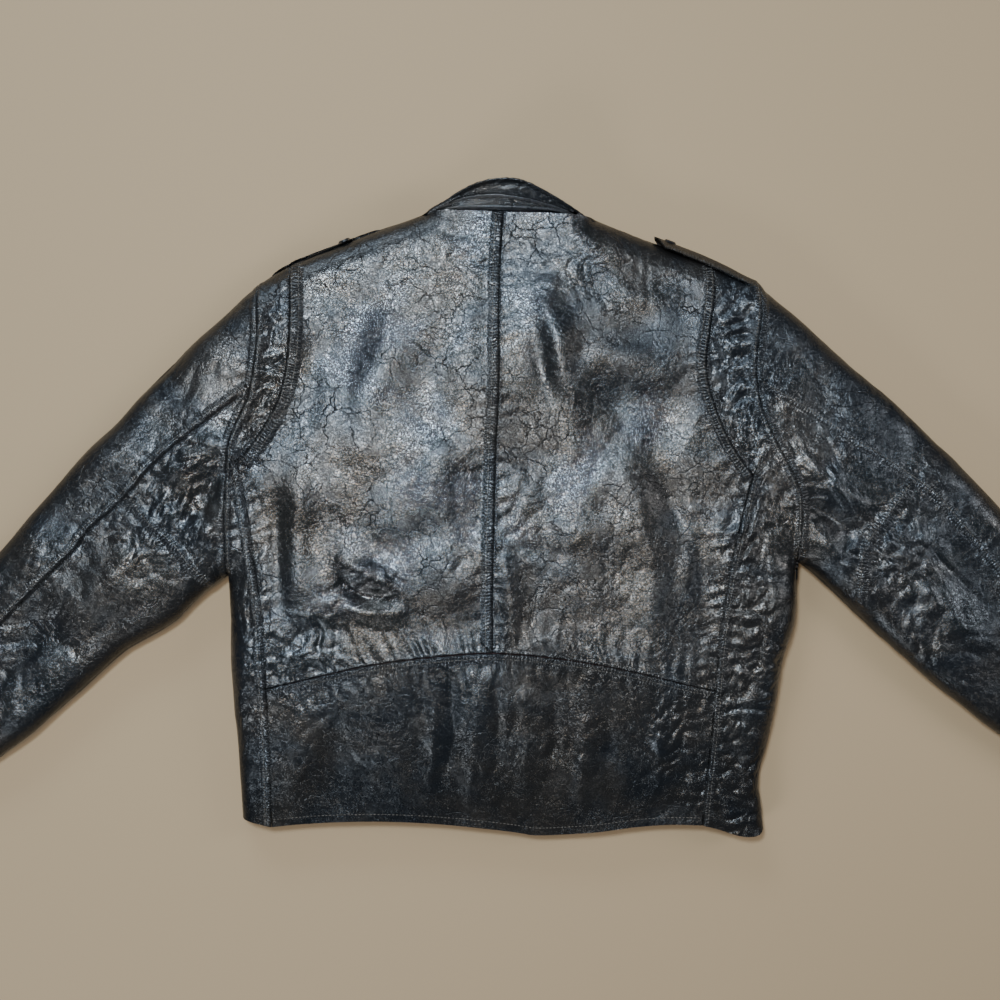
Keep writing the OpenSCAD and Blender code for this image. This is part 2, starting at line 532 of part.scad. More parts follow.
// ---- sleeves ----
// Stations of a sleeve part: a seam point, moved off a hinge by half the joint's clear space
STATIONS = 7;
function span(a, b, from = 0, to = 0) =
    let (d = unit(b - a)) walk([a + d * from, b - d * to], STATIONS);
function fold_span(c, from = 0, to = 0) =
    let (n = len(c) - 1, a = c[0] + unit(c[1] - c[0]) * from, b = c[n] + unit(c[n - 1] - c[n]) * to)
    walk(concat([a], cut(c, 1, n - 1), [b]), STATIONS);
G = joint_gap;
UP_SEAM_L = span(SEAM_L[0], SEAM_L[1], G, G);
UP_UNDER_L = span(UNDER_L[0], UNDER_L[1], G, G);
UP_HIGH_L = fold_span(SLEEVE_TOP_L, 1.5 * G, G);
UP_LOW_L = fold_span(back(SLEEVE_LOW_L), 1.5 * G, G);
UP_SEAM_R = span(SEAM_R[0], SEAM_R[1], G, G);
UP_UNDER_R = span(UNDER_R[0], UNDER_R[1], G, G);
UP_HIGH_R = fold_span(back(SLEEVE_TOP_R), 1.5 * G, G);
UP_LOW_R = fold_span(SLEEVE_LOW_R, 1.5 * G, G);
FO_SEAM_L = span(SEAM_L[1], SEAM_L[2], G);
FO_UNDER_L = span(UNDER_L[1], UNDER_L[2], G);
FO_HIGH_L = fold_span(FOREARM_TOP_L, G);
FO_LOW_L = fold_span(back(FOREARM_LOW_L), G);
FO_SEAM_R = span(SEAM_R[1], SEAM_R[2], G);
FO_UNDER_R = span(UNDER_R[1], UNDER_R[2], G);
FO_HIGH_R = fold_span(back(FOREARM_TOP_R), G);
FO_LOW_R = fold_span(FOREARM_LOW_R, G);

module sleeve_lining(edges, from, to, depth, thick) {
    tube(cut(rings(edges[0], edges[1], edges[2], edges[3], depth), from, to),
        cut(rings(edges[0], edges[1], edges[2], edges[3], depth + thick), from, to));
}
LINING_IN = leather_t + 3.4;
UPPER_L = [UP_SEAM_L, UP_UNDER_L, UP_HIGH_L, UP_LOW_L];
UPPER_R = [UP_SEAM_R, UP_UNDER_R, UP_HIGH_R, UP_LOW_R];
FOREARM_L = [FO_SEAM_L, FO_UNDER_L, FO_HIGH_L, FO_LOW_L];
FOREARM_R = [FO_SEAM_R, FO_UNDER_R, FO_HIGH_R, FO_LOW_R];

module upper_sleeve_top_left() { color(BLACK) wrapped(UP_SEAM_L, UP_HIGH_L, UP_UNDER_L); }
module upper_sleeve_top_right() { color(BLACK) wrapped(UP_SEAM_R, UP_HIGH_R, UP_UNDER_R); }
module upper_sleeve_under_left() { color(WORN) wrapped(UP_SEAM_L, UP_LOW_L, UP_UNDER_L); }
module upper_sleeve_under_right() { color(WORN) wrapped(UP_SEAM_R, UP_LOW_R, UP_UNDER_R); }
module forearm_top_left() { color(BLACK) wrapped(FO_SEAM_L, FO_HIGH_L, FO_UNDER_L); }
module forearm_top_right() { color(BLACK) wrapped(FO_SEAM_R, FO_HIGH_R, FO_UNDER_R); }
module forearm_under_left() { color(WORN) wrapped(FO_SEAM_L, FO_LOW_L, FO_UNDER_L); }
module forearm_under_right() { color(WORN) wrapped(FO_SEAM_R, FO_LOW_R, FO_UNDER_R); }
module upper_sleeve_lining_left() {
    color(CLOTH) sleeve_lining(UPPER_L, 1, STATIONS - 1, LINING_IN, lining_t);
}
module upper_sleeve_lining_right() {
    color(CLOTH) sleeve_lining(UPPER_R, 1, STATIONS - 1, LINING_IN, lining_t);
}
module forearm_lining_left() {
    color(CLOTH) sleeve_lining(FOREARM_L, 1, STATIONS - 1, LINING_IN, lining_t);
}
module forearm_lining_right() {
    color(CLOTH) sleeve_lining(FOREARM_R, 1, STATIONS - 1, LINING_IN, lining_t);
}
// Leather facing inside each cuff
module cuff_facing_left() {
    color(BLACK) sleeve_lining(FOREARM_L, STATIONS - 1, STATIONS, LINING_IN, 1.2);
}
module cuff_facing_right() {
    color(BLACK) sleeve_lining(FOREARM_R, STATIONS - 1, STATIONS, LINING_IN, 1.2);
}

back_panel_left();
back_panel_right();
lower_back_panel();
action_pleat_left();
action_pleat_right();
side_panel_left();
side_panel_right();
front_panel_left();
front_panel_right();
back_lining();
hem_facing();
hanger_loop();
pocket_bag_left();
pocket_bag_right();
pocket_zip_left();
pocket_zip_right();
epaulet_snap_studs();
front_edge_left();
front_edge_right();
front_facing_left();
front_facing_right();
front_zip_chain_left();
front_zip_chain_right();
collar_front_left();
collar_front_right();
collar_stand();
collar_leaf();
epaulet_left();
epaulet_right();
epaulet_snap_cap_left();
epaulet_snap_cap_right();
upper_sleeve_top_left();
upper_sleeve_top_right();
upper_sleeve_under_left();
upper_sleeve_under_right();
upper_sleeve_lining_left();
upper_sleeve_lining_right();
forearm_top_left();
forearm_top_right();
forearm_under_left();
forearm_under_right();
forearm_lining_left();
forearm_lining_right();
cuff_facing_left();
cuff_facing_right();
cuff_zip_left();
cuff_zip_right();
front_zip_slider();
front_zip_pull();
pocket_slider_left();
pocket_slider_right();
pocket_pull_left();
pocket_pull_right();
cuff_slider_left();
cuff_slider_right();
cuff_pull_left();
cuff_pull_right();
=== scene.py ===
import math

import bpy
import numpy as np
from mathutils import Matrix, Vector


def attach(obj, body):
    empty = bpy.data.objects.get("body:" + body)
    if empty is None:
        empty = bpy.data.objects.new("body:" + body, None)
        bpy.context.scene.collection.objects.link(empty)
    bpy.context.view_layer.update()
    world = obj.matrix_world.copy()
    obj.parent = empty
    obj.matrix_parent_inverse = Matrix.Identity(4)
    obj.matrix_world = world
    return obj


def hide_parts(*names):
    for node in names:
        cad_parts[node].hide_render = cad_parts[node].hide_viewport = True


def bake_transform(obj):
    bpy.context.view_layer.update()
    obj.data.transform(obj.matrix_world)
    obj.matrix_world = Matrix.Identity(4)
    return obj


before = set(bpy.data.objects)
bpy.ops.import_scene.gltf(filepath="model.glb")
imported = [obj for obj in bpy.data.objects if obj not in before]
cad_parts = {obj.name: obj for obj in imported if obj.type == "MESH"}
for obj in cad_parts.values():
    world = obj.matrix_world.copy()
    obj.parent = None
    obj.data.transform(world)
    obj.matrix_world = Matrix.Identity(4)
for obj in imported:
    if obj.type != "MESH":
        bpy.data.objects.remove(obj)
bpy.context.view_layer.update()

# Lengths in this script are millimetres in the frame's own axes, and become metres in make_mesh.
MM = 0.001

# ---------------- camera, floor, light


def add_camera():
    """Straight above the back, as wide as the jacket's body and most of its sleeves."""
    lens = bpy.data.cameras.new("camera")
    lens.sensor_width = 36
    lens.lens = 56.5
    camera = bpy.data.objects.new("camera", lens)
    camera.location = (-0.014, 0.007, 1.6)
    bpy.context.scene.collection.objects.link(camera)
    bpy.context.scene.camera = camera


def add_light(name, place, aim, size, power, colour=(1, 1, 1)):
    lamp = bpy.data.lights.new(name, "AREA")
    lamp.shape = "RECTANGLE"
    lamp.size, lamp.size_y = size
    lamp.energy = power
    lamp.color = colour
    holder = bpy.data.objects.new(name, lamp)
    holder.location = place
    holder.rotation_euler = (Vector(aim) - Vector(place)).to_track_quat("-Z", "Y").to_euler()
    bpy.context.scene.collection.objects.link(holder)


def add_stage():
    half = 3.0
    mesh = bpy.data.meshes.new("floor")
    mesh.from_pydata([(-half, -half, 0), (half, -half, 0), (half, half, 0), (-half, half, 0)], [],
                     [(0, 1, 2, 3)])
    floor = bpy.data.objects.new("floor", mesh)
    floor.location = (0, 0, -0.0005)
    bpy.context.scene.collection.objects.link(floor)
    material = bpy.data.materials.new("floor_paint")
    material.use_nodes = True
    shader = material.node_tree.nodes["Principled BSDF"]
    shader.inputs["Base Color"].default_value = (0.43, 0.305, 0.175, 1)
    shader.inputs["Roughness"].default_value = 0.7
    mesh.materials.append(material)
    world = bpy.data.worlds.new("studio")
    bpy.context.scene.world = world
    world.use_nodes = True
    sky = world.node_tree.nodes["Background"].inputs
    sky["Color"].default_value = (0.70, 0.83, 1.0, 1)
    sky["Strength"].default_value = 0.15


add_camera()
add_stage()
add_light("cool_key", (-0.34, 0.50, 2.2), (-0.12, 0.1, 0), (0.40, 0.28), 40, (0.72, 0.86, 1.0))
add_light("warm_key", (-0.22, 0.06, 2.3), (-0.05, 0.05, 0), (0.30, 0.30), 11, (1.0, 0.86, 0.70))
add_light("window", (-0.8, 2.2, 1.3), (0.0, 0.0, 0), (1.6, 0.7), 24, (0.72, 0.86, 1.0))
add_light("side", (1.9, 0.3, 1.2), (0.1, 0.0, 0), (0.5, 0.9), 11, (0.92, 0.95, 1.0))
add_light("foot", (-1.2, -1.7, 1.2), (-0.1, -0.1, 0), (0.9, 0.5), 16, (0.88, 0.94, 1.0))

# ---------------- curves and noise


def curve(*points):
    """A list of plan points, rounded off by cutting its corners twice; the ends stay."""
    c = np.array(points, float)
    for _ in range(2):
        a, b = c[:-1], c[1:]
        cuts = np.stack([a * 0.75 + b * 0.25, a * 0.25 + b * 0.75], 1).reshape(-1, 2)
        c = np.vstack([c[:1], cuts[1:-1] if len(c) > 2 else cuts[:0], c[-1:]])
    return c


def lengths(c):
    return np.concatenate([[0], np.cumsum(np.hypot(*np.diff(c, axis=0).T))])


def pick(c, shares):
    """Points on a curve at shares of its length."""
    run = lengths(c)
    at = np.asarray(shares) * run[-1]
    return np.stack([np.interp(at, run, c[:, k]) for k in range(c.shape[1])], 1)


def closest(points, c):
    """For each point: its distance from a curve, the length along it, its side (+1 on the left), and the
    curve's direction there."""
    best, along, side = np.full(len(points), 1e9), np.zeros(len(points)), np.ones(len(points))
    way, run = np.zeros((len(points), 2)), 0.0
    for a, b in zip(c[:-1], c[1:]):
        ab = b - a
        size = math.hypot(*ab)
        if size == 0:
            continue
        rel = points - a
        t = np.clip((rel @ ab) / size**2, 0, 1)
        off = rel - t[:, None] * ab
        d = np.hypot(off[:, 0], off[:, 1])
        hit = d < best
        best[hit], along[hit], way[hit] = d[hit], run + t[hit] * size, ab / size
        side[hit] = np.sign(ab[0] * rel[hit, 1] - ab[1] * rel[hit, 0] + 1e-12)
        run += size
    return best, along, side, way


def nearest(c, point):
    """Share of a curve's length at its point closest to a given one."""
    return closest(np.array([point], float), c)[1][0] / lengths(c)[-1]


def between(c, a, b):
    """The stretch of a curve between its points closest to a and b."""
    start, end = nearest(c, a), nearest(c, b)
    return pick(c, np.linspace(start, end, max(2, int(len(c) * abs(end - start)) + 2)))


def onto(c, point):
    return pick(c, [nearest(c, point)])[0]


def chain(*curves):
    return np.vstack([curves[0]] + [c[1:] for c in curves[1:]])


def ease(t):
    t = np.clip(t, 0, 1)
    return t * t * (3 - 2 * t)


def near(xy, c, reach):
    """What closest says of each point. Points further off than reach get a distance of at least reach."""
    found = np.full(len(xy), float(reach) * 4), np.zeros(len(xy)), np.ones(len(xy)), np.zeros((len(xy), 2))
    low, high = c.min(0) - reach, c.max(0) + reach
    close = np.all((xy > low) & (xy < high), axis=1)
    for whole, here in zip(found, closest(xy[close], c)):
        whole[close] = here
    return found


ANGLES = np.random.default_rng(11).uniform(0, 2 * math.pi, 4096)


def noise(x, y, seed=0):
    """Smooth gradient noise of about -0.7 to 0.7, with one bump per unit."""
    ix, iy = np.floor(x).astype(np.int64), np.floor(y).astype(np.int64)
    fx, fy = x - ix, y - iy
    u, v = fx * fx * fx * (fx * (fx * 6 - 15) + 10), fy * fy * fy * (fy * (fy * 6 - 15) + 10)

    def corner(dx, dy):
        h = ((ix + dx) * 73856093 ^ (iy + dy) * 19349663 ^ (seed + 1) * 83492791) & 4095
        return np.cos(ANGLES[h]) * (fx - dx) + np.sin(ANGLES[h]) * (fy - dy)

    low = corner(0, 0) * (1 - u) + corner(1, 0) * u
    high = corner(0, 1) * (1 - u) + corner(1, 1) * u
    return low * (1 - v) + high * v


def crumple(x, y, size, seed, stretch=1.0, turn=0.0):
    """Rounded bulges about size across, parted by sharp creases: 0 in a crease, about 1 on a bulge.
    stretch makes them longer along the direction turn, in degrees."""
    c, s = math.cos(math.radians(turn)), math.sin(math.radians(turn))
    a, b = (x * c + y * s) / stretch, -x * s + y * c
    wa = a + size * 0.9 * noise(a / (2.1 * size), b / (2.1 * size), seed + 1)
    wb = b + size * 0.9 * noise(a / (2.1 * size), b / (2.1 * size), seed + 2)
    big = np.abs(noise(wa / size, wb / size, seed))
    fine = np.abs(noise(wa / size * 2.3 + 7, wb / size * 2.3 + 3, seed + 5))
    return np.clip(2.4 * big, 0, 1.2) ** 0.75 * 0.72 + np.clip(2.2 * fine, 0, 1.1) ** 0.8 * 0.28


# ---------------- the jacket's plan

NECK_L, NECK_R = (-91, 294), (81, 288)
SHOULDER_L, SHOULDER_R = (-256, 223), (244, 226)
ARMPIT_L, ARMPIT_R = (-287, -68), (284, -54)

# Folded edges, each with the outside of the jacket on its right
SHOULDER_FOLD_L = curve(NECK_L, (-150, 271), (-191, 256), (-223, 243), SHOULDER_L)
SLEEVE_TOP_L = curve(SHOULDER_L, (-284, 198), (-323, 165), (-342, 144), (-380, 108), (-399, 83), (-438, 47),
                     (-485, -7), (-514, -43), (-600, -133), (-704, -237))
SLEEVE_LOW_L = curve(ARMPIT_L, (-304, -79), (-322, -95), (-342, -117), (-376, -136), (-395, -147),
                     (-435, -184), (-484, -226), (-514, -249), (-624, -326))
SIDE_FOLD_L = curve(ARMPIT_L, (-285, -105), (-284, -134), (-283, -182), (-279, -227), (-276, -265),
                    (-274, -314))
SHOULDER_FOLD_R = curve(SHOULDER_R, (190, 247), (130, 270), NECK_R)
SLEEVE_TOP_R = curve(SHOULDER_R, (251, 216), (282, 193), (320, 159), (349, 132), (381, 107), (412, 77),
                     (444, 46), (486, 2), (590, -104), (705, -217))
SLEEVE_LOW_R = curve(ARMPIT_R, (295, -61), (320, -84), (354, -117), (387, -145), (425, -180),
                     (454, -201), (486, -228), (622, -303))
SIDE_FOLD_R = curve(ARMPIT_R, (284, -96), (280, -124), (270, -153), (265, -188), (257, -233), (245, -275),
                    (249, -297), (251, -322))
FOLDS = [SHOULDER_FOLD_L, SLEEVE_TOP_L, SLEEVE_LOW_L[::-1], SIDE_FOLD_L, SIDE_FOLD_R[::-1], SLEEVE_LOW_R,
         SLEEVE_TOP_R[::-1], SHOULDER_FOLD_R]

# Seams of the back
CENTRE_TOP = curve((-21.5, -145), (-22.4, -93), (-20.5, -23), (-18.5, 67), (-15.4, 107), (-15, 207),
                   (-14, 255), (-11, 293))
PLEAT_L = curve((-276, 45), (-269, 49), (-239, 93), (-227, 129), (-222, 175), (-223, 243))
PLEAT_R = curve((237, 31), (213, 64), (196, 108), (189, 140), (194, 175), (200, 217), (198, 243))
ARMHOLE_L = curve(ARMPIT_L, (-287, 0), (-286, 50), (-281, 73), (-269, 98), (-264, 110), (-258, 140),
                  (-254, 175), SHOULDER_L)
ARMHOLE_R = curve(ARMPIT_R, (287, -4), (286, 12), (276, 35), (257, 70), (245, 100), (240, 127), (241, 156),
                  (247, 198), SHOULDER_R)
SIDE_L = curve((-243, -321), (-244, -233), (-247, -181), (-248, -143), (-251, -105), (-257, -67), (-262, -29),
               (-269, 17), (-276, 45))
SIDE_R = curve((189, -319), (191, -297), (197, -233), (200, -183), (205, -124), (211, -78), (219, -40),
               (228, -4), (237, 31))
WAIST = curve((-247, -181), (-187, -167), (-149, -158), (-93, -150), (-45, -146), (-21.5, -145), (23, -148),
              (81, -156), (129, -166), (176, -178), (200, -183))
HEM = curve((-243, -321), (-217, -318), (-160, -315), (-103, -316), (-55, -320), (-26, -323), (6, -327),
            (21, -330), (58, -328), (93, -325), (119, -321), (160, -318), (189, -319))
BACK_NECK = curve(NECK_L, (-67, 296), (-11, 293), (46, 292), NECK_R)

# Seams of the sleeves, from the armhole to the cuff
BACK_SEAM_L = curve((-266, 116), (-284, 102), (-323, 73), (-361, 41), (-386, 9), (-428, -26), (-434, -40),
                    (-455, -60), (-494, -99), (-514, -119), (-672, -275))
BACK_SEAM_R = curve((242, 121), (272, 103), (301, 86), (331, 65), (368, 44), (398, 23), (417, 9), (433, -10),
                    (454, -34), (486, -71), (660, -257))
CROSS_L = curve((-386, 9), (-372, -16), (-340, -40), (-328, -60), (-306, -79))
CROSS_R = curve((397, 21), (377, -9), (349, -44), (348, -91))
UNDER_SEAM_L = curve((-272, 75), (-453, -95), (-668, -284))
UNDER_SEAM_R = curve((263, 84), (447, -82), (668, -264))
CUFF_L = curve((-704, -237), (-624, -326))
CUFF_R = curve((705, -217), (622, -303))

# ---------------- heights

BODY_H, CUFF_H, HEM_H = 44.0, 32.0, 27.0
MID_Z = 0.45          # share of the height at which the back and front layers meet in a folded edge
FOLD_RADIUS = 0.62    # share of the height over which a layer turns over towards a folded edge


def loft(xy):
    sleeve = ease((np.abs(xy[:, 0]) - 280) / 420)
    low = np.where(np.abs(xy[:, 0]) < 292, ease((-150 - xy[:, 1]) / 180), 0)
    h = BODY_H + (CUFF_H - BODY_H) * sleeve
    return h + (HEM_H - h) * low


FOLD_REACH = 70       # more than the widest rounding of a folded edge


def to_fold(xy):
    """For each point: distance from the nearest folded edge, and the direction out over it as x and y."""
    best, out = np.full(len(xy), 1e9), np.zeros((len(xy), 2))
    for fold in FOLDS:
        d, _, _, way = near(xy, fold, FOLD_REACH)
        hit = d < best
        best[hit], out[hit, 0], out[hit, 1] = d[hit], way[hit, 1], -way[hit, 0]
    return best, out[:, 0], out[:, 1]


# Seams that show: curve, side of the raised and topstitched band (+1 left of travel), band width,
# pucker height, how far the puckers reach and how strongly the band is gathered into a ladder
SEAMS = [
    (CENTRE_TOP, 1, 9, 0.8, 15, 0.6),
    (WAIST, -1, 7, 1.5, 26, 0.5),
    (SIDE_L, 1, 8, 1.0, 16, 0.35),
    (SIDE_R, -1, 7, 1.1, 18, 0.35),
    (PLEAT_L, -1, 11, 1.3, 12, 1.0),
    (PLEAT_R, 1, 8, 1.2, 14, 1.0),
    (ARMHOLE_L, 0, 5, 0.9, 14, 0.3),
    (ARMHOLE_R, 0, 5, 1.0, 16, 0.5),
    (BACK_SEAM_L, -1, 7, 0.8, 12, 0.3),
    (BACK_SEAM_R, 1, 7, 0.9, 14, 0.4),
    (CROSS_L, 1, 7, 1.4, 20, 0.5),
    (CROSS_R, -1, 7, 1.4, 20, 0.5),
]

# Folds of the leather on the back and sleeves: points, half width, height
STROKES = [
    # left half of the back
    ([(-139, 217), (-160, 150), (-184, 87)], 22, -3.5),
    ([(-214, 57), (-216, -20), (-212, -93)], 11, 4.0),
    ([(-235, 20), (-236, -50), (-228, -120)], 7, -3.0),
    ([(-110, 215), (-132, 160), (-150, 95), (-160, 40)], 16, 3.0),
    ([(-70, 190), (-86, 120), (-100, 60)], 20, -2.2),
    ([(-60, 60), (-90, 0), (-130, -40)], 18, 2.8),
    ([(-178, -50), (-150, -66), (-118, -74)], 9, 4.6),
    ([(-176, -72), (-150, -88), (-112, -92)], 6, -4.5),
    ([(-172, -98), (-140, -108), (-104, -104)], 8, 4.0),
    ([(-232, -128), (-196, -118), (-160, -128)], 6, -3.2),
    ([(-236, -152), (-205, -146), (-170, -150)], 6, 2.6),
    ([(-66, 20), (-70, -60), (-60, -120)], 14, 2.4),
    ([(-205, 200), (-196, 130), (-206, 70)], 9, -2.4),
    ([(-36, 250), (-50, 180), (-44, 100)], 12, 1.8),
    # right half of the back
    ([(31, 232), (38, 175), (52, 120), (71, 82)], 12, 5.4),
    ([(20, 190), (26, 150), (40, 100)], 9, -3.0),
    ([(66, 120), (110, 104), (176, 77)], 24, -5.5),
    ([(70, 160), (110, 150), (160, 120)], 16, 2.8),
    ([(126, 67), (160, 0), (188, -55), (198, -133)], 12, -4.5),
    ([(100, 60), (122, -10), (134, -60)], 16, 2.6),
    ([(134, -23), (140, -90), (142, -153)], 15, 3.6),
    ([(-12, -48), (-2, -92), (-6, -138)], 7, 3.4),
    ([(14, -20), (16, -80), (34, -130)], 18, -3.4),
    ([(60, 40), (66, -30), (78, -110)], 20, 2.2),
    ([(90, 235), (120, 205), (165, 195)], 10, 2.2),
    ([(170, 20), (176, -40), (168, -100)], 8, 2.6),
    # lower panel
    ([(-222, -200), (-214, -250), (-226, -300)], 12, 2.4),
    ([(-180, -190), (-176, -240), (-190, -300)], 10, -1.8),
    ([(-82, -165), (-78, -220), (-86, -290)], 6, 2.8),
    ([(-64, -165), (-60, -210), (-66, -270)], 5, -2.8),
    ([(-44, -160), (-40, -220), (-46, -300)], 7, 2.6),
    ([(-18, -162), (-14, -215), (-22, -280)], 5, -2.4),
    ([(8, -165), (14, -225), (6, -300)], 7, 2.4),
    ([(34, -168), (42, -215), (36, -275)], 5, -2.6),
    ([(66, -175), (72, -235), (64, -305)], 8, 2.6),
    ([(96, -180), (92, -240), (100, -300)], 9, -2.0),
    ([(150, -200), (142, -250), (156, -300)], 7, 2.8),
    # sleeves
    ([(286, 12), (312, -8), (338, -34)], 8, -6.0),
    ([(292, 42), (322, 20), (352, -8)], 9, 4.5),
    ([(300, 70), (345, 44), (398, 4)], 12, 3.0),
    ([(300, -30), (330, -56), (372, -96)], 10, 4.0),
    ([(420, -30), (452, -70), (500, -120)], 14, -3.5),
    ([(402, -66), (436, -110), (480, -150)], 12, 4.0),
    ([(330, 120), (380, 80), (430, 36)], 14, -2.6),
    ([(440, 10), (490, -36), (560, -110)], 14, 3.2),
    ([(-290, 70), (-318, 44), (-342, 20)], 10, 4.5),
    ([(-284, 40), (-306, 10), (-332, -14)], 7, -5.0),
    ([(-284, 8), (-300, -22), (-318, -44)], 9, 4.5),
    ([(-300, 150), (-350, 100), (-402, 48)], 14, -2.6),
    ([(-356, -30), (-400, -70), (-452, -112)], 13, 4.2),
    ([(-344, -82), (-392, -112), (-440, -150)], 9, -4.0),
    ([(-420, -6), (-470, -60), (-530, -118)], 12, 2.8),
    ([(-440, -90), (-490, -140), (-560, -196)], 16, -3.2),
]

# Crumpled patches: centre, radii, turn of the patch, height, crease size, crease stretch and turn
PATCHES = [
    ((-144, -85), (42, 30), 0, 3.4, 24, 1.6, 10),
    ((-205, -140), (42, 34), 0, 2.8, 17, 1.3, 20),
    ((-240, 150), (18, 90), 0, 3.2, 17, 1.0, 0),
    ((-255, 85), (16, 40), 0, 3.2, 13, 1.4, 60),
    ((222, 160), (20, 70), 0, 5.0, 19, 1.0, 0),
    ((232, 95), (20, 50), 0, 4.6, 16, 1.3, 100),
    ((238, -40), (30, 70), 0, 4.2, 18, 1.2, 70),
    ((232, -150), (36, 80), 0, 4.6, 19, 1.3, 20),
    ((222, -270), (30, 60), 0, 3.6, 17, 1.0, 0),
    ((-262, -120), (18, 150), 0, 2.6, 20, 1.6, 90),
    ((156, -238), (34, 62), 0, 3.2, 18, 1.2, 80),
    ((0, -235), (100, 70), 0, 2.2, 20, 1.8, 90),
    ((-180, -245), (70, 70), 0, 1.3, 22, 1.2, 90),
    ((384, -38), (42, 62), -40, 4.6, 19, 1.0, 0),
    ((430, -120), (60, 70), 0, 3.4, 26, 1.4, -40),
    ((305, 10), (40, 60), 30, 4.2, 24, 1.5, -45),
    ((360, 110), (90, 40), -42, 1.6, 24, 1.8, -42),
    ((-310, 20), (40, 60), -20, 4.2, 20, 1.3, 50),
    ((-350, -20), (46, 50), 40, 3.2, 17, 1.2, 40),
    ((-350, 100), (100, 40), 42, 1.4, 26, 1.8, 42),
    ((-470, -110), (110, 60), 42, 2.6, 30, 1.8, 42),
    ((-600, -220), (120, 60), 42, 3.0, 26, 1.2, 42),
    ((600, -200), (130, 60), -42, 3.0, 26, 1.2, -42),
    ((-100, 240), (100, 40), 0, 0.9, 15, 1.0, 0),
    ((80, 240), (100, 40), 0, 1.1, 15, 1.0, 0),
    ((60, -40), (110, 110), 0, 1.3, 30, 1.3, 80),
    ((-80, 0), (120, 120), 0, 0.8, 34, 1.3, 70),
]


SEAM_REACH = 60.0     # distance beyond which a seam leaves no mark
NO_SEAM = (0, SEAM_REACH, 0)


def seam_relief(xy):
    """Height that the seams add, and per point the length along the nearest seam, the distance from it
    and how much it lies on that seam's gathered band, from 0 to 1."""
    z = np.zeros(len(xy))
    marks = np.tile(np.array(NO_SEAM, float), (len(xy), 1))
    for k, (c, side, band, pucker, reach, ladder) in enumerate(SEAMS):
        d, along, which, _ = near(xy, c, SEAM_REACH)
        close = d < SEAM_REACH
        if not close.any():
            continue
        d, along, which = d[close], along[close], which[close]
        on_band = which * side > 0 if side else np.ones(len(d), bool)
        lift = 1.1 * ease((band + 1.5 - d) / 2.5) * on_band
        stitch = -0.5 * np.exp(-(((d - band + 2) / 1.3) ** 2)) * on_band
        groove = -1.5 * np.exp(-((d / 0.8) ** 2))
        phase = along / 7.0 + 1.6 * noise(along / 23, d / 40 + k, 20 + k) + which * d / 31
        ripple = np.sin(phase * 2 * math.pi / 2.1) * (0.55 + 0.9 * noise(along / 34, d * 0 + k, 40 + k))
        fade = np.exp(-((np.maximum(d - 1, 0) / reach) ** 1.4)) * ease(d / 2.5)
        z[close] += lift + stitch + groove + pucker * ripple * fade * np.where(on_band, 1, 0.8)
        nearer = d < marks[close, 1]
        rows = np.where(close)[0][nearer]
        gathered = ladder * np.where(on_band, ease((band + 3 - d) / 3), ease((4 - d) / 3) * 0.7)
        marks[rows] = np.column_stack([along + 40 * k, d, gathered])[nearer]
    return z, marks


def fold_relief(xy):
    z = np.zeros(len(xy))
    for k, (points, width, height) in enumerate(STROKES):
        c = curve(*points)
        d, along, which, _ = near(xy, c, width * 3.2)
        close = d < width * 3.2
        if not close.any():
            continue
        d, along = d[close] * which[close], along[close]
        share = along / lengths(c)[-1]
        taper = np.sin(np.pi * np.clip(share, 0, 1)) ** 0.8
        d = d + width * 0.5 * noise(along / 45, along * 0 + k, 60) * taper
        z[close] += height * taper * np.exp(-((np.abs(d) / (1.25 * width)) ** 1.9))
    for k, (centre, radii, turn, height, size, stretch, run) in enumerate(PATCHES):
        c, s = math.cos(math.radians(turn)), math.sin(math.radians(turn))
        rel = xy - np.array(centre)
        a, b = (rel[:, 0] * c + rel[:, 1] * s) / radii[0], (-rel[:, 0] * s + rel[:, 1] * c) / radii[1]
        q = a * a + b * b
        close = q < 5
        if not close.any():
            continue
        mask = np.exp(-(q[close] ** 1.3) * 0.9)
        bulges = crumple(xy[close, 0], xy[close, 1], size, 100 + 9 * k, stretch, run)
        z[close] += height * mask * (bulges - 0.45)
    x, y = xy[:, 0], xy[:, 1]
    z += 4.6 * noise(x / 95, y / 95, 3) + 2.0 * noise(x / 46, y / 46, 4)
    z += 0.4 * (crumple(x, y, 34, 900) - 0.5) + 0.10 * (crumple(x, y, 11, 950) - 0.5)
    return z


def rounding(xy):
    """Per point: the direction out over the nearest folded edge as x and y, the jacket's height, the
    height at which its layers meet, how close the edge is from 0 to 1, and how far the layer has come up
    from the edge, from 0 to 1."""
    d, nx, ny = to_fold(xy)
    h = loft(xy)
    q = 1 - np.clip(d / (h * FOLD_RADIUS), 0, 1)
    return nx, ny, h, h * MID_Z, q, np.sqrt(np.clip(1 - q * q, 0, 1))


def top_point(xy, drop=0.0):
    """Points of the back layer's skin over plan points, and their seam marks."""
    nx, ny, h, mid, q, c = rounding(xy)
    seams, marks = seam_relief(xy)
    folds = fold_relief(xy)
    z = mid + c * (h - mid - drop + seams + folds)
    bulge = q * (folds * 0.55 + 0.5 * seams)
    return np.column_stack([xy[:, 0] + nx * bulge, xy[:, 1] + ny * bulge, z]), marks


ZIP_RISE = 6.4        # how far the front layer lifts off the floor over a zip
CENTRE_X = -8         # plan line of the front zip
POCKETS = {"left": ((-200, -130), (-207, -238)), "right": ((174, -132), (179, -240))}
ZIP_LINES = [np.array([(CENTRE_X, 290), (CENTRE_X, -340)], float),
             np.array([(-200, -100), (-207, -268)], float),
             np.array([(174, -102), (179, -270)], float),
             np.array([(-686, -302), (-529, -163)], float),
             np.array([(686, -279), (524, -146)], float)]


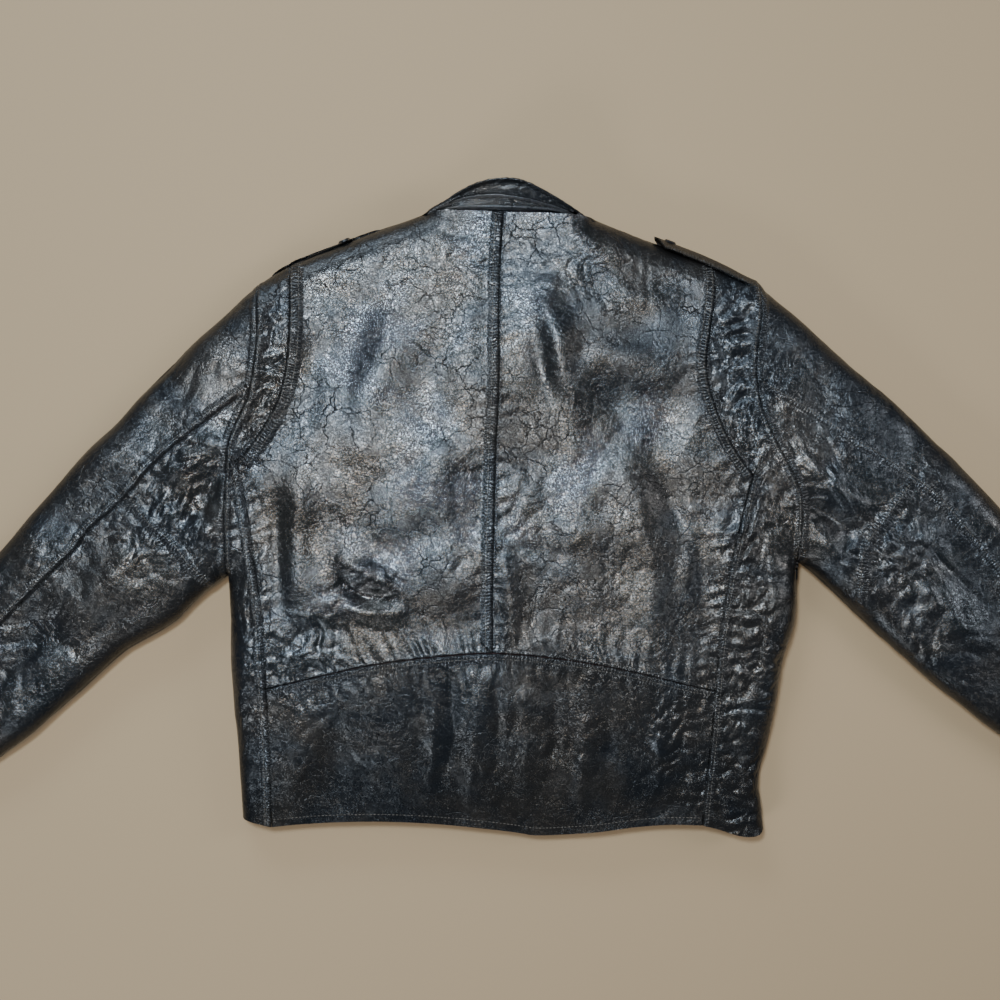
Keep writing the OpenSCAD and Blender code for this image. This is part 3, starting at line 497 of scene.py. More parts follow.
def under_point(xy, lift=0.0):
    """Points of the front layer's skin, which lies on the floor and rises over the zips."""
    nx, ny, _, mid, q, c = rounding(xy)
    rise = np.zeros(len(xy))
    for line in ZIP_LINES:
        rise = np.maximum(rise, ZIP_RISE * ease((30 - near(xy, line, 40)[0]) / 14))
    folds = 1.6 * crumple(xy[:, 0], xy[:, 1], 34, 700) + 1.2 * (noise(xy[:, 0] / 60, xy[:, 1] / 60, 9) + 0.7)
    folds = folds * (1 - ease(rise / ZIP_RISE * 1.6))
    z = mid - c * (mid - lift) + rise * (1 - q) + c * folds * 0.8
    bulge = q * folds * 0.4
    points = np.column_stack([xy[:, 0] + nx * bulge, xy[:, 1] + ny * bulge, z])
    return points, np.tile(NO_SEAM, (len(xy), 1))


# ---------------- meshes


def coons(low, high, left, right, us, vs):
    """Plan grid of a four-sided panel, rows along v and columns along u."""
    b, t, l, r = pick(low, us), pick(high, us), pick(left, vs), pick(right, vs)
    u, v = np.asarray(us)[None, :, None], np.asarray(vs)[:, None, None]
    return (b[None] * (1 - v) + t[None] * v + l[:, None] * (1 - u) + r[:, None] * u
            - b[0] * (1 - u) * (1 - v) - b[-1] * u * (1 - v) - t[0] * (1 - u) * v - t[-1] * u * v)


def grid_normals(grid):
    du = np.gradient(grid, axis=1)
    dv = np.gradient(grid, axis=0)
    n = np.cross(du, dv)
    return n / np.maximum(np.linalg.norm(n, axis=2, keepdims=True), 1e-9)


def make_mesh(name, vertices, faces, materials, marks=None):
    """An object from arrays in mm: faces is a list of (quads or triangles, material index)."""
    mesh = bpy.data.meshes.new(name)
    vertices = np.asarray(vertices, float)
    mesh.vertices.add(len(vertices))
    mesh.vertices.foreach_set("co", (vertices * MM).astype(np.float32).ravel())
    corners = np.concatenate([f.ravel() for f, _ in faces]).astype(np.int32)
    sizes = np.concatenate([np.full(len(f), f.shape[1]) for f, _ in faces]).astype(np.int32)
    slots = np.concatenate([np.full(len(f), s) for f, s in faces]).astype(np.int32)
    mesh.loops.add(len(corners))
    mesh.loops.foreach_set("vertex_index", corners)
    mesh.polygons.add(len(sizes))
    mesh.polygons.foreach_set("loop_start", np.concatenate([[0], np.cumsum(sizes)[:-1]]).astype(np.int32))
    mesh.polygons.foreach_set("loop_total", sizes)
    mesh.polygons.foreach_set("material_index", slots)
    mesh.polygons.foreach_set("use_smooth", np.full(len(sizes), True))
    mesh.update(calc_edges=True)
    for material in materials:
        mesh.materials.append(material)
    if marks is None:
        marks = np.tile(NO_SEAM, (len(vertices), 1))
    for title, values in (("rest", vertices), ("seam", marks)):
        layer = mesh.attributes.new(title, "FLOAT_VECTOR", "POINT")
        layer.data.foreach_set("vector", values.astype(np.float32).ravel())
    thing = bpy.data.objects.new(name, mesh)
    bpy.context.scene.collection.objects.link(thing)
    return thing


def grid_faces(rows, columns, start=0, turned=False):
    i, j = np.meshgrid(np.arange(rows - 1), np.arange(columns - 1), indexing="ij")
    k = (start + i * columns + j).ravel()
    quads = np.column_stack([k, k + 1, k + columns + 1, k + columns])
    return quads[:, ::-1] if turned else quads


def shell(name, grid, thickness, materials, marks=None, facing=None, normals=None):
    """A sheet with thickness from a grid of outer points; facing is a direction its outside looks along
    at the grid's middle. The inside gets the second material if there is one."""
    rows, columns = grid.shape[:2]
    n = grid_normals(grid)
    middle = n[rows // 2, columns // 2]
    if normals is not None:
        facing = normals[rows // 2, columns // 2]
        n = normals * (1.0 if middle @ facing > 0 else -1.0)
    sign = 1.0 if facing is None or middle @ np.array(facing, float) > 0 else -1.0
    inner = grid - sign * n * thickness
    count = rows * columns
    outside = grid_faces(rows, columns, 0, sign < 0)
    inside = grid_faces(rows, columns, count, sign > 0)
    rim = np.concatenate([np.arange(columns), np.arange(1, rows) * columns + columns - 1,
                          (rows - 1) * columns + np.arange(columns - 2, -1, -1),
                          np.arange(rows - 2, 0, -1) * columns])
    nxt = np.roll(rim, -1)
    walls = np.column_stack([rim, rim + count, nxt + count, nxt])
    if sign < 0:
        walls = walls[:, ::-1]
    vertices = np.vstack([grid.reshape(-1, 3), inner.reshape(-1, 3)])
    values = np.tile(np.array(NO_SEAM, float), (2 * count, 1))
    if marks is not None:
        values[:count] = marks.reshape(-1, 3)
    back = 1 if len(materials) > 1 else 0
    thing = make_mesh(name, vertices, [(outside, 0), (walls, 0), (inside, back)], materials, values)
    turned = (n * sign).reshape(-1, 3)
    thing.data.normals_split_custom_set_from_vertices(np.vstack([turned, -turned]).tolist())
    return thing


def shares(length, step):
    """Even shares of a length, with a few more close to its ends where a seam's groove runs."""
    even = np.linspace(0, length, max(3, int(round(length / step)) + 1))
    close = np.array([0.5, 1.1]) if length > 12 else np.zeros(0)
    return np.unique(np.concatenate([even, close, length - close])) / length


def crowd(n):
    """Shares from 0 to 1 that crowd towards 1, where a fold turns over."""
    t = np.linspace(0, 1, n)
    return 1 - (1 - t) ** 1.7


STEP = 2.0         # mesh spacing on the back, which shows
UNDER_STEP = 4.5   # and on the hidden front
LEATHER = 1.7         # thickness of the outer leather
SEAM_GAP = 0.06       # between the edge of a panel and its seam, so that neighbours don't touch


def run_of(c):
    return lengths(c)[-1]


def trimmed(c_shares, length):
    """Shares pulled in by the seam gap at both ends."""
    return np.asarray(c_shares) * (1 - 2 * SEAM_GAP / length) + SEAM_GAP / length


def panel_plan(low, high, left, right, step):
    us = trimmed(shares(max(run_of(low), run_of(high)), step), max(run_of(low), 10))
    vs = trimmed(shares(max(run_of(left), run_of(right)), step), max(run_of(left), 10))
    return coons(low, high, left, right, us, vs)


def back_panel(name, low, high, left, right, drop=0.0, level_with=None):
    """A panel of the back; drop sinks it, except beside the curve level_with."""
    plan = panel_plan(low, high, left, right, STEP)
    if level_with is not None:
        drop = drop * ease((near(plan.reshape(-1, 2), level_with, 60)[0] - 3) / 12)
    points, marks = top_point(plan.reshape(-1, 2), drop)
    return shell(name, points.reshape(plan.shape[:2] + (3,)), LEATHER, [leather, suede], marks, (0, 0, 1))


def front_panel(name, low, high, left, right, step=UNDER_STEP, lift=0.0, thickness=LEATHER, materials=None):
    plan = panel_plan(low, high, left, right, step)
    points, marks = under_point(plan.reshape(-1, 2), lift)
    return shell(name, points.reshape(plan.shape[:2] + (3,)), thickness, materials or [leather, suede],
                 marks, (0, 0, -1))


def wrap_grid(seam, fold, under, start, end, vs):
    """Grid of a panel that wraps a fold: from the seam on the back, over the fold, to the seam on the
    front. start and end are the straight or curved ends, each as (back curve, front curve) to the fold."""
    width = max(run_of(start[0]), run_of(end[0]))
    us = crowd(max(6, int(width / STEP)))
    plan = coons(start[0], end[0], seam, fold, us, vs)
    top, top_marks = top_point(plan.reshape(-1, 2))
    top, top_marks = (a.reshape(plan.shape[:2] + (3,)) for a in (top, top_marks))
    width = max(run_of(start[1]), run_of(end[1]))
    us = crowd(max(6, int(width / UNDER_STEP)))
    plan = coons(start[1], end[1], under, fold, us, vs)
    low, low_marks = under_point(plan.reshape(-1, 2))
    low, low_marks = (a.reshape(plan.shape[:2] + (3,))[:, ::-1] for a in (low, low_marks))
    edge = (top[:, -1:] + low[:, :1]) / 2
    grid = np.concatenate([top[:, :-1], edge, low[:, 1:]], axis=1)
    return grid, np.concatenate([top_marks, low_marks[:, 1:]], axis=1)


# ---------------- materials


def feed(n, inputs):
    """Sets inputs of a node, by name or number, to a value or to another node's output."""
    for key, value in inputs.items():
        socket = n.inputs[key]
        if isinstance(value, bpy.types.NodeSocket):
            n.id_data.links.new(value, socket)
        elif socket.type == "RGBA":
            socket.default_value = (*value, 1)
        else:
            socket.default_value = value


def node(tree, kind, inputs=None, **settings):
    n = tree.nodes.new(kind)
    for key, value in settings.items():
        setattr(n, key, value)
    feed(n, inputs or {})
    return n


def ramp(tree, source, stops):
    r = node(tree, "ShaderNodeValToRGB", {"Fac": source})
    while len(r.color_ramp.elements) < len(stops):
        r.color_ramp.elements.new(0.5)
    for e, (at, colour) in zip(r.color_ramp.elements, stops):
        e.position = at
        e.color = (*colour, 1) if isinstance(colour, tuple) else (colour, colour, colour, 1)
    return r.outputs["Color"]


def maths(tree, how, a, b=0.0):
    return node(tree, "ShaderNodeMath", {0: a, 1: b}, operation=how).outputs[0]


def times(tree, *factors):
    product = factors[0]
    for factor in factors[1:]:
        product = maths(tree, "MULTIPLY", product, factor)
    return product


def mix(tree, fac, a, b):
    return node(tree, "ShaderNodeMix", {0: fac, 6: a, 7: b}, data_type="RGBA").outputs[2]


def attribute(tree, name):
    return node(tree, "ShaderNodeAttribute", attribute_name=name).outputs["Vector"]


def texture_noise(tree, vector, scale, detail=3.0, rough=0.5, distortion=0.0, output="Fac"):
    return node(tree, "ShaderNodeTexNoise", {"Vector": vector, "Scale": scale, "Detail": detail,
                                             "Roughness": rough, "Distortion": distortion}).outputs[output]


def texture_cells(tree, vector, scale):
    """Distance to the border between cells."""
    return node(tree, "ShaderNodeTexVoronoi", {"Vector": vector, "Scale": scale},
                feature="DISTANCE_TO_EDGE").outputs["Distance"]


def bump(tree, height, distance, strength, normal=None):
    b = node(tree, "ShaderNodeBump", {"Height": height, "Distance": distance, "Strength": strength})
    if normal is not None:
        feed(b, {"Normal": normal})
    return b.outputs["Normal"]


def new_material(name):
    material = bpy.data.materials.new(name)
    material.use_nodes = True
    return material, material.node_tree, material.node_tree.nodes["Principled BSDF"]


def warped(tree, vector, scale, amount):
    """Coordinates pushed about by noise, by up to amount along each axis."""
    push = texture_noise(tree, vector, scale, 2, output="Color")
    return node(tree, "ShaderNodeVectorMath", {0: push, 1: (amount, amount, amount), 2: vector},
                operation="MULTIPLY_ADD").outputs["Vector"]


def ridged(tree, vector, scale, detail=3.0, rough=0.6, distortion=0.4):
    """Noise folded at its middle: 0 along winding creases, rising to 1 between them."""
    n = texture_noise(tree, vector, scale, detail, rough, distortion)
    return times(tree, maths(tree, "ABSOLUTE", maths(tree, "SUBTRACT", n, 0.5)), 5.0)


def leather_material(name, dark, brown, rough, creased=1.0):
    """Pebbled, creased and worn leather, with painted shade on its rolled folds and a painted reflection
    tint; its coordinates are millimetres at rest.
    """
    material, tree, shader = new_material(name)
    at = attribute(tree, "rest")
    along, off, band = node(tree, "ShaderNodeSeparateXYZ", {0: attribute(tree, "seam")}).outputs
    height = node(tree, "ShaderNodeSeparateXYZ", {0: at}).outputs["Z"]

    pebbles = texture_cells(tree, warped(tree, at, 0.30, 2.4), 0.36)
    pebble = ramp(tree, pebbles, [(0.0, 0.0), (0.16, 0.75), (0.5, 1.0)])
    fine = texture_noise(tree, at, 0.55, 3, 0.6, 0.5)
    wrinkles = ramp(tree, ridged(tree, at, 0.16, 4, 0.62, 0.8), [(0.0, 0.0), (0.3, 0.75), (1.0, 1.0)])
    cracks = ramp(tree, texture_cells(tree, warped(tree, at, 0.11, 8), 0.09),
                  [(0.0, 0.0), (0.03, 0.75), (0.10, 1.0)])
    lines = ramp(tree, texture_cells(tree, warped(tree, at, 0.045, 20), 0.040),
                 [(0.0, 0.0), (0.010, 0.7), (0.03, 1.0)])
    dry = ramp(tree, texture_noise(tree, at, 0.014, 3, 0.5, 0.5), [(0.50, 0.0), (0.70, 0.55)])
    dryer = ramp(tree, texture_noise(tree, at, 0.018, 2, 0.5, 0.2), [(0.45, 0.05), (0.62, 0.75)])
    cracks = maths(tree, "SUBTRACT", 1.0, times(tree, maths(tree, "SUBTRACT", 1.0, cracks), dry))
    lines = maths(tree, "SUBTRACT", 1.0, times(tree, maths(tree, "SUBTRACT", 1.0, lines), dryer))

    # Ladder of small folds on the gathered band of a seam
    wander = texture_noise(tree, at, 0.10, 2)
    phase = maths(tree, "ADD", times(tree, along, 1.02), times(tree, wander, 9.0))
    rungs = maths(tree, "ABSOLUTE", maths(tree, "SINE", phase))
    patchy = ramp(tree, texture_noise(tree, at, 0.05, 2), [(0.36, 0.45), (0.56, 1.0)])
    ladder = times(tree, rungs, band, patchy)

    patches = texture_noise(tree, at, 0.012, 4, 0.6, 0.5)
    tint = ramp(tree, patches, [(0.42, dark), (0.60, brown)])
    scuffs = texture_noise(tree, at, 0.20, 5, 0.7, 0.6)
    edge = times(tree, ramp(tree, off, [(0.0, 1.0), (0.05, 0.0)]),
                 ramp(tree, scuffs, [(0.45, 0.0), (0.7, 1.0)]))
    tint = mix(tree, edge, tint, (0.085, 0.078, 0.068))
    tint = mix(tree, times(tree, ladder, scuffs, 0.45), tint, (0.11, 0.11, 0.11))
    # Painted reflection tint: patches turn the leather's reflections cool blue or warm, standing in for
    # differently coloured lights
    painted_reflection_tint = ramp(tree, patches, [(0.42, (0.87, 0.94, 1.0)), (0.62, (1.0, 0.94, 0.87))])

    # Creases and pebble borders shine less. The rolled folds of the jacket get less shine as painted shade:
    # the specular level drops with rest height in the band where the layers turn over, standing in for the
    # shadow along the outline.
    folded = ramp(tree, maths(tree, "DIVIDE", height, 50.0),
                  [(0.08, 1.0), (0.18, 0.3), (0.52, 0.3), (0.76, 1.0)])
    shine = times(tree, cracks, lines, folded, ramp(tree, pebble, [(0.0, 0.40), (0.7, 1.0)]),
                  ramp(tree, fine, [(0.36, 0.65), (0.62, 1.25)]), 0.95)
    gloss = ramp(tree, texture_noise(tree, at, 0.02, 4, 0.6, 0.3), [(0.3, rough - 0.07), (0.7, rough + 0.08)])

    normal = bump(tree, lines, 0.0006 * creased, 0.8)
    normal = bump(tree, cracks, 0.0005 * creased, 0.8, normal)
    normal = bump(tree, wrinkles, 0.00013 * creased, 0.8, normal)
    normal = bump(tree, ladder, 0.0013, 1.0, normal)
    normal = bump(tree, pebble, 0.00008, 1.0, normal)
    normal = bump(tree, fine, 0.00006, 0.8, normal)
    feed(shader, {"Base Color": tint, "Specular Tint": painted_reflection_tint, "Specular IOR Level": shine, "Roughness": gloss,
                  "Normal": normal, "IOR": 1.5})
    return material


def suede_material():
    material, tree, shader = new_material("suede_back")
    fibre = texture_noise(tree, attribute(tree, "rest"), 1.4, 5, 0.7)
    colour = ramp(tree, fibre, [(0.3, (0.03, 0.027, 0.026)), (0.7, (0.07, 0.062, 0.058))])
    feed(shader, {"Base Color": colour, "Normal": bump(tree, fibre, 0.0002, 0.6), "Roughness": 0.95})
    return material


leather = leather_material("black_leather", (0.0060, 0.0066, 0.0078), (0.0110, 0.0101, 0.0094), 0.24)
dull_leather = leather_material("edge_leather", (0.006, 0.006, 0.0065), (0.015, 0.0125, 0.0105), 0.38, 0.6)
# Lighter leather for the collar's pipings: a painted highlight along their edges
highlight_painted_leather = leather_material("painted_highlight_edge_leather", (0.030, 0.031, 0.034), (0.060, 0.056, 0.052), 0.30, 0.4)
suede = suede_material()


def cloth_material(name, colour, scale=1.1, rough=0.75, sheen=0.3):
    """Woven cloth: two crossing sets of threads."""
    material, tree, shader = new_material(name)
    at = attribute(tree, "rest")
    threads = []
    for turn in (0.5, -0.6):
        turned = node(tree, "ShaderNodeMapping", {"Vector": at, "Rotation": (0, 0, turn)})
        threads.append(node(tree, "ShaderNodeTexWave",
                            {"Vector": turned.outputs["Vector"], "Scale": scale, "Distortion": 0.4},
                            wave_type="BANDS").outputs["Fac"])
    dark = tuple(c * 0.6 for c in colour)
    shade = ramp(tree, texture_noise(tree, at, 0.05, 4), [(0.35, dark), (0.65, colour)])
    weave = bump(tree, maths(tree, "ADD", *threads), 0.00012, 0.5)
    feed(shader, {"Base Color": shade, "Normal": weave, "Roughness": rough, "Sheen Weight": sheen})
    return material


def thread_material():
    material, tree, shader = new_material("thread")
    soil = texture_noise(tree, attribute(tree, "rest"), 0.35, 3, 0.7)
    colour = ramp(tree, soil, [(0.35, (0.035, 0.032, 0.028)), (0.65, (0.19, 0.165, 0.135))])
    feed(shader, {"Base Color": colour, "Roughness": 0.6})
    return material


def metal_material(name, colour, dirt, rough):
    material, tree, shader = new_material(name)
    place = node(tree, "ShaderNodeTexCoord").outputs["Object"]
    tarnish = ramp(tree, texture_noise(tree, place, 260, 5, 0.65), [(0.36, dirt), (0.6, colour)])
    gloss = ramp(tree, texture_noise(tree, place, 900, 3), [(0.3, rough - 0.08), (0.7, rough + 0.15)])
    dents = bump(tree, texture_noise(tree, place, 2500, 2), 0.00003, 0.5)
    feed(shader, {"Base Color": tarnish, "Roughness": gloss, "Normal": dents, "Metallic": 1.0})
    return material


def enamel_material():
    """Black enamel on steel, worn through in specks."""
    material, tree, shader = new_material("snap_enamel")
    place = node(tree, "ShaderNodeTexCoord").outputs["Object"]
    worn = ramp(tree, texture_noise(tree, place, 700, 4, 0.7), [(0.66, 0.0), (0.70, 1.0)])
    colour = mix(tree, worn, (0.012, 0.012, 0.013), (0.35, 0.33, 0.30))
    gloss = ramp(tree, texture_noise(tree, place, 300, 3), [(0.3, 0.22), (0.7, 0.4)])
    feed(shader, {"Base Color": colour, "Metallic": worn, "Roughness": gloss})
    return material


dark_red_cloth = cloth_material("lining_cloth", (0.075, 0.012, 0.014), 1.2, 0.45, 0.5)
pocket_cotton = cloth_material("pocket_cloth", (0.20, 0.18, 0.15), 0.9)
tape_cloth = cloth_material("zip_tape_cloth", (0.016, 0.016, 0.017), 1.4)
thread = thread_material()
zip_steel = metal_material("zip_metal", (0.55, 0.53, 0.50), (0.16, 0.13, 0.10), 0.34)
snap_steel = enamel_material()

# ---------------- bodies and folds of the pieces


def metres(point, z=0.0):
    return (point[0] * MM, point[1] * MM, z * MM)


def across(line, to_x, reach_in, reach_out):
    """Start and end, in metres, of a bend across a hinge line whose moving side is towards -X or +X."""
    a, b = np.array(line[0], float), np.array(line[1], float)
    way = np.array([b[1] - a[1], a[0] - b[0]]) / math.hypot(*(b - a))
    way *= math.copysign(1, way[0] * to_x)
    middle = (a + b) / 2
    return metres(middle + way * reach_in), metres(middle + way * reach_out)


FOOT_L, FOOT_R = (-150, -317), (134, -323)     # lower ends of the lines that the fronts open about
ELBOW_L, ELBOW_R = ((-508, -36), (-399, -154)), ((500, -14), (394, -150))
BENDS = {
    ("left", "shoulder"): ("jacket_body", "left_upper_sleeve", across((ARMPIT_L, SHOULDER_L), -1, 12, 62)),
    ("right", "shoulder"): ("jacket_body", "right_upper_sleeve", across((ARMPIT_R, SHOULDER_R), 1, 10, 60)),
    ("left", "elbow"): ("left_upper_sleeve", "left_forearm", across(ELBOW_L, -1, -45, 45)),
    ("right", "elbow"): ("right_upper_sleeve", "right_forearm", across(ELBOW_R, 1, -45, 45)),
    ("left", "front"): ("jacket_body", "left_front", across((NECK_L, FOOT_L), 1, -15, 15)),
    ("right", "front"): ("jacket_body", "right_front", across((NECK_R, FOOT_R), -1, -15, 15)),
}


def bend(piece, side, place, *cad_nodes):
    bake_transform(piece)
    if cad_nodes:
        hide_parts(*cad_nodes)


def carry(piece, body, *cad_nodes):
    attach(piece, body)
    if cad_nodes:
        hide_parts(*cad_nodes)


# ---------------- pieces of the back

# Corners where seams meet; the pleats' inserts end on the armholes at their lowest points
TIP_L, TIP_R = (-276, 45), (237, 31)
INSERT_LOW_L, INSERT_LOW_R = onto(ARMHOLE_L, (-286, 50)), onto(ARMHOLE_R, (257, 70))
PLEAT_TOP_L, PLEAT_TOP_R = (-223, 243), (198, 243)
NECK_MIDDLE = (-11, 293)
WAIST_L, WAIST_C, WAIST_R = (-247, -181), (-21.5, -145), (200, -183)
HEM_L, HEM_R = (-243, -321), (189, -319)
UNDER_SIDE_L = curve((-285, -68), (-248, -321))
UNDER_SIDE_R = curve((282, -54), (225, -322))


def straight(*points):
    return np.array(points, float)


def side_panel(name, seam, fold, under, start, end):
    vs = trimmed(shares(run_of(seam), STEP), run_of(seam))
    grid, marks = wrap_grid(seam, fold, under, start, end, vs)
    return shell(name, grid, LEATHER, [leather, suede], marks, (math.copysign(1, fold[0][0]), 0, 0.3))


outer_l = chain(between(SIDE_L, WAIST_L, TIP_L), between(PLEAT_L, TIP_L, PLEAT_TOP_L))
outer_r = chain(between(SIDE_R, WAIST_R, TIP_R), between(PLEAT_R, TIP_R, PLEAT_TOP_R))
top_l = chain(between(SHOULDER_FOLD_L, PLEAT_TOP_L, NECK_L), between(BACK_NECK, NECK_L, NECK_MIDDLE))
top_r = chain(between(BACK_NECK, NECK_MIDDLE, NECK_R), between(SHOULDER_FOLD_R, NECK_R, PLEAT_TOP_R))
carry(back_panel("back_left", between(WAIST, WAIST_L, WAIST_C), top_l, outer_l, CENTRE_TOP),
      "jacket_body", "back_panel_left")
carry(back_panel("back_right", between(WAIST, WAIST_C, WAIST_R), top_r, CENTRE_TOP, outer_r),
      "jacket_body", "back_panel_right")
carry(back_panel("lower_back", HEM, WAIST, between(SIDE_L, HEM_L, WAIST_L), between(SIDE_R, HEM_R, WAIST_R)),
      "jacket_body", "lower_back_panel")
carry(back_panel("pleat_insert_left", straight(INSERT_LOW_L, TIP_L),
                 between(SHOULDER_FOLD_L, SHOULDER_L, PLEAT_TOP_L),
                 between(ARMHOLE_L, INSERT_LOW_L, SHOULDER_L), between(PLEAT_L, TIP_L, PLEAT_TOP_L),
                 drop=2.6, level_with=ARMHOLE_L),
      "jacket_body", "action_pleat_left")
carry(back_panel("pleat_insert_right", straight(TIP_R, INSERT_LOW_R),
                 between(SHOULDER_FOLD_R, PLEAT_TOP_R, SHOULDER_R), between(PLEAT_R, TIP_R, PLEAT_TOP_R),
                 between(ARMHOLE_R, INSERT_LOW_R, SHOULDER_R), drop=2.8, level_with=ARMHOLE_R),
      "jacket_body", "action_pleat_right")
carry(side_panel("side_left", between(SIDE_L, TIP_L, HEM_L), SIDE_FOLD_L, UNDER_SIDE_L,
                 (chain(straight(TIP_L, INSERT_LOW_L), between(ARMHOLE_L, INSERT_LOW_L, ARMPIT_L)),
                  straight(UNDER_SIDE_L[0], ARMPIT_L)),
                 (straight(HEM_L, SIDE_FOLD_L[-1]), straight(UNDER_SIDE_L[-1], SIDE_FOLD_L[-1]))),
      "jacket_body", "side_panel_left")
carry(side_panel("side_right", between(SIDE_R, TIP_R, HEM_R), SIDE_FOLD_R, UNDER_SIDE_R,
                 (chain(straight(TIP_R, INSERT_LOW_R), between(ARMHOLE_R, INSERT_LOW_R, ARMPIT_R)),
                  straight(UNDER_SIDE_R[0], ARMPIT_R)),
                 (curve(HEM_R, (211, -325), (229, -331), (246, -330), SIDE_FOLD_R[-1]),
                  straight(UNDER_SIDE_R[-1], SIDE_FOLD_R[-1]))),
      "jacket_body", "side_panel_right")

# ---------------- sleeves


SLEEVE_SPLIT = 0.2    # share of a sleeve's length where its upper piece ends


def sleeve_part(side, name, seam, fold, under, start, end):
    """A panel from armhole to cuff, in two pieces that share a row: an upper one from the armhole and a lower
    one on to the cuff."""
    vs = trimmed(shares(run_of(fold), STEP), run_of(fold))
    grid, marks = wrap_grid(seam, fold, under, start, end, vs)
    cut = int(len(vs) * SLEEVE_SPLIT)
    n = grid_normals(grid)
    sign = math.copysign(1, n[len(grid) // 2, 2, 2])
    for part_name, place, rows, cad_name in (("upper", "shoulder", slice(0, cut + 1), "upper_sleeve"),
                                             ("lower", "elbow", slice(cut, None), "forearm")):
        piece = shell(f"sleeve_{name}_{part_name}_{side}", grid[rows], LEATHER, [leather, suede], marks[rows],
                      None, n[rows] * sign)
        bend(piece, side, place, f"{cad_name}_{name}_{side}")


for side, armhole, seam, under, cuff, edges in (
        ("left", ARMHOLE_L, BACK_SEAM_L, UNDER_SEAM_L, CUFF_L,
         (("top", SLEEVE_TOP_L, SHOULDER_L), ("under", SLEEVE_LOW_L, ARMPIT_L))),
        ("right", ARMHOLE_R, BACK_SEAM_R, UNDER_SEAM_R, CUFF_R,
         (("top", SLEEVE_TOP_R, SHOULDER_R), ("under", SLEEVE_LOW_R, ARMPIT_R)))):
    seam = np.vstack([onto(armhole, seam[0]), seam[1:]])
    for name, fold, corner in edges:
        sleeve_part(side, name, seam, fold, under,
                    (between(armhole, seam[0], corner), straight(under[0], corner)),
                    (between(cuff, seam[-1], fold[-1]), straight(under[-1], fold[-1])))


# ---------------- fronts

ZIP_EDGE = 5          # from the middle of the zip to the leather on either side of it
NECK_DIP = 250        # where the front zip ends at the neck
COLLAR_TOP = 286      # where the collar's front ends stop
FACING_INSET, FACING_DROP = 12, 14     # how far a facing stays inside its front's outline


def towards_zip(a, b):
    """A little over halfway from a value at the neck to one at the zip."""
    return a * 0.4 + b * 0.6


for side, sign, neck, shoulder, armpit, foot, seam, side_seam in (
        ("left", -1, NECK_L, SHOULDER_L, ARMPIT_L, FOOT_L, UNDER_SEAM_L[0], UNDER_SIDE_L),
        ("right", 1, NECK_R, SHOULDER_R, ARMPIT_R, FOOT_R, UNDER_SEAM_R[0], UNDER_SIDE_R)):
    zip_x = CENTRE_X + sign * ZIP_EDGE
    half_x, half_y = towards_zip(neck[0], zip_x), towards_zip(neck[1], NECK_DIP)

    def laid_out(low, high, outer, inner):
        """The four edges in the order of a panel: its edge on the zip comes last on the left side."""
        return (low, high, outer, inner) if sign < 0 else (low[::-1], high[::-1], inner, outer)

    hem = curve(side_seam[-1], foot, (zip_x, foot[1]))
    armhole = chain(side_seam[::-1], straight(side_seam[0], armpit, seam, shoulder))
    high = chain(straight(shoulder, neck), curve(neck, (half_x, half_y - 8), (zip_x, NECK_DIP)))
    edges = laid_out(hem, high, armhole, straight((zip_x, foot[1]), (zip_x, NECK_DIP)))
    bend(front_panel(f"front_{side}", *edges), side, "front", f"front_panel_{side}", f"front_edge_{side}")

    foot_x, neck_x = foot[0] - sign * FACING_INSET, neck[0] - sign * FACING_INSET
    low = straight((foot_x, foot[1] + FACING_INSET), (zip_x, foot[1] + FACING_INSET))
    high = curve((neck_x, neck[1] - FACING_DROP), (half_x, NECK_DIP - 2), (zip_x, NECK_DIP - FACING_INSET))
    edges = laid_out(low, high, straight(low[0], high[0]), straight(low[-1], high[-1]))
    facing = front_panel(f"front_facing_{side}", *edges, step=7, lift=3.4, thickness=0.7,
                         materials=[dark_red_cloth, dark_red_cloth])
    bend(facing, side, "front", f"front_facing_{side}")

    low = curve((neck[0] - sign * 14, neck[1] - 7), (half_x, half_y - 7.2), (zip_x, NECK_DIP + 0.8))
    high = curve((neck[0] - sign * 10, neck[1] - 1), (half_x, towards_zip(neck[1], COLLAR_TOP)),
                 (zip_x, COLLAR_TOP))
    edges = laid_out(low, high, straight(low[0], high[0]), straight(low[-1], high[-1]))
    carry(front_panel(f"collar_wing_{side}", *edges, step=3, lift=-0.2), f"{side}_front",
          f"collar_front_{side}")

# ---------------- linings and facings


def inner_sheet(name, low, high, left, right, drop, thickness, material):
    """A layer below the back, drop under the back's outer skin."""
    us, vs = shares(run_of(low), 4), shares(run_of(left), 4)
    plan = coons(low, high, left, right, us, vs)
    points, _ = top_point(plan.reshape(-1, 2), drop)
    return shell(name, points.reshape(plan.shape[:2] + (3,)), thickness, [material], None, (0, 0, 1))


lining = inner_sheet("back_lining_cloth", curve((-240, -285), (-22, -290), (215, -288)),
                     curve((-200, 215), (-14, 270), (186, 215)),
                     curve((-240, -285), (-232, -150), (-240, 30), (-200, 215)),
                     curve((215, -288), (194, -150), (208, 30), (186, 215)), 4.6, 0.6, dark_red_cloth)
carry(lining, "jacket_body", "back_lining")
carry(inner_sheet("hem_facing_leather",
                  curve((-228, -315), (-100, -311), (-22, -321), (93, -318), (178, -313)),
                  curve((-228, -292), (-100, -291), (-22, -294), (93, -294), (178, -290)),
                  curve((-228, -315), (-228, -292)), curve((178, -313), (178, -290)), 2.6, 1.2, leather),
      "jacket_body", "hem_facing")


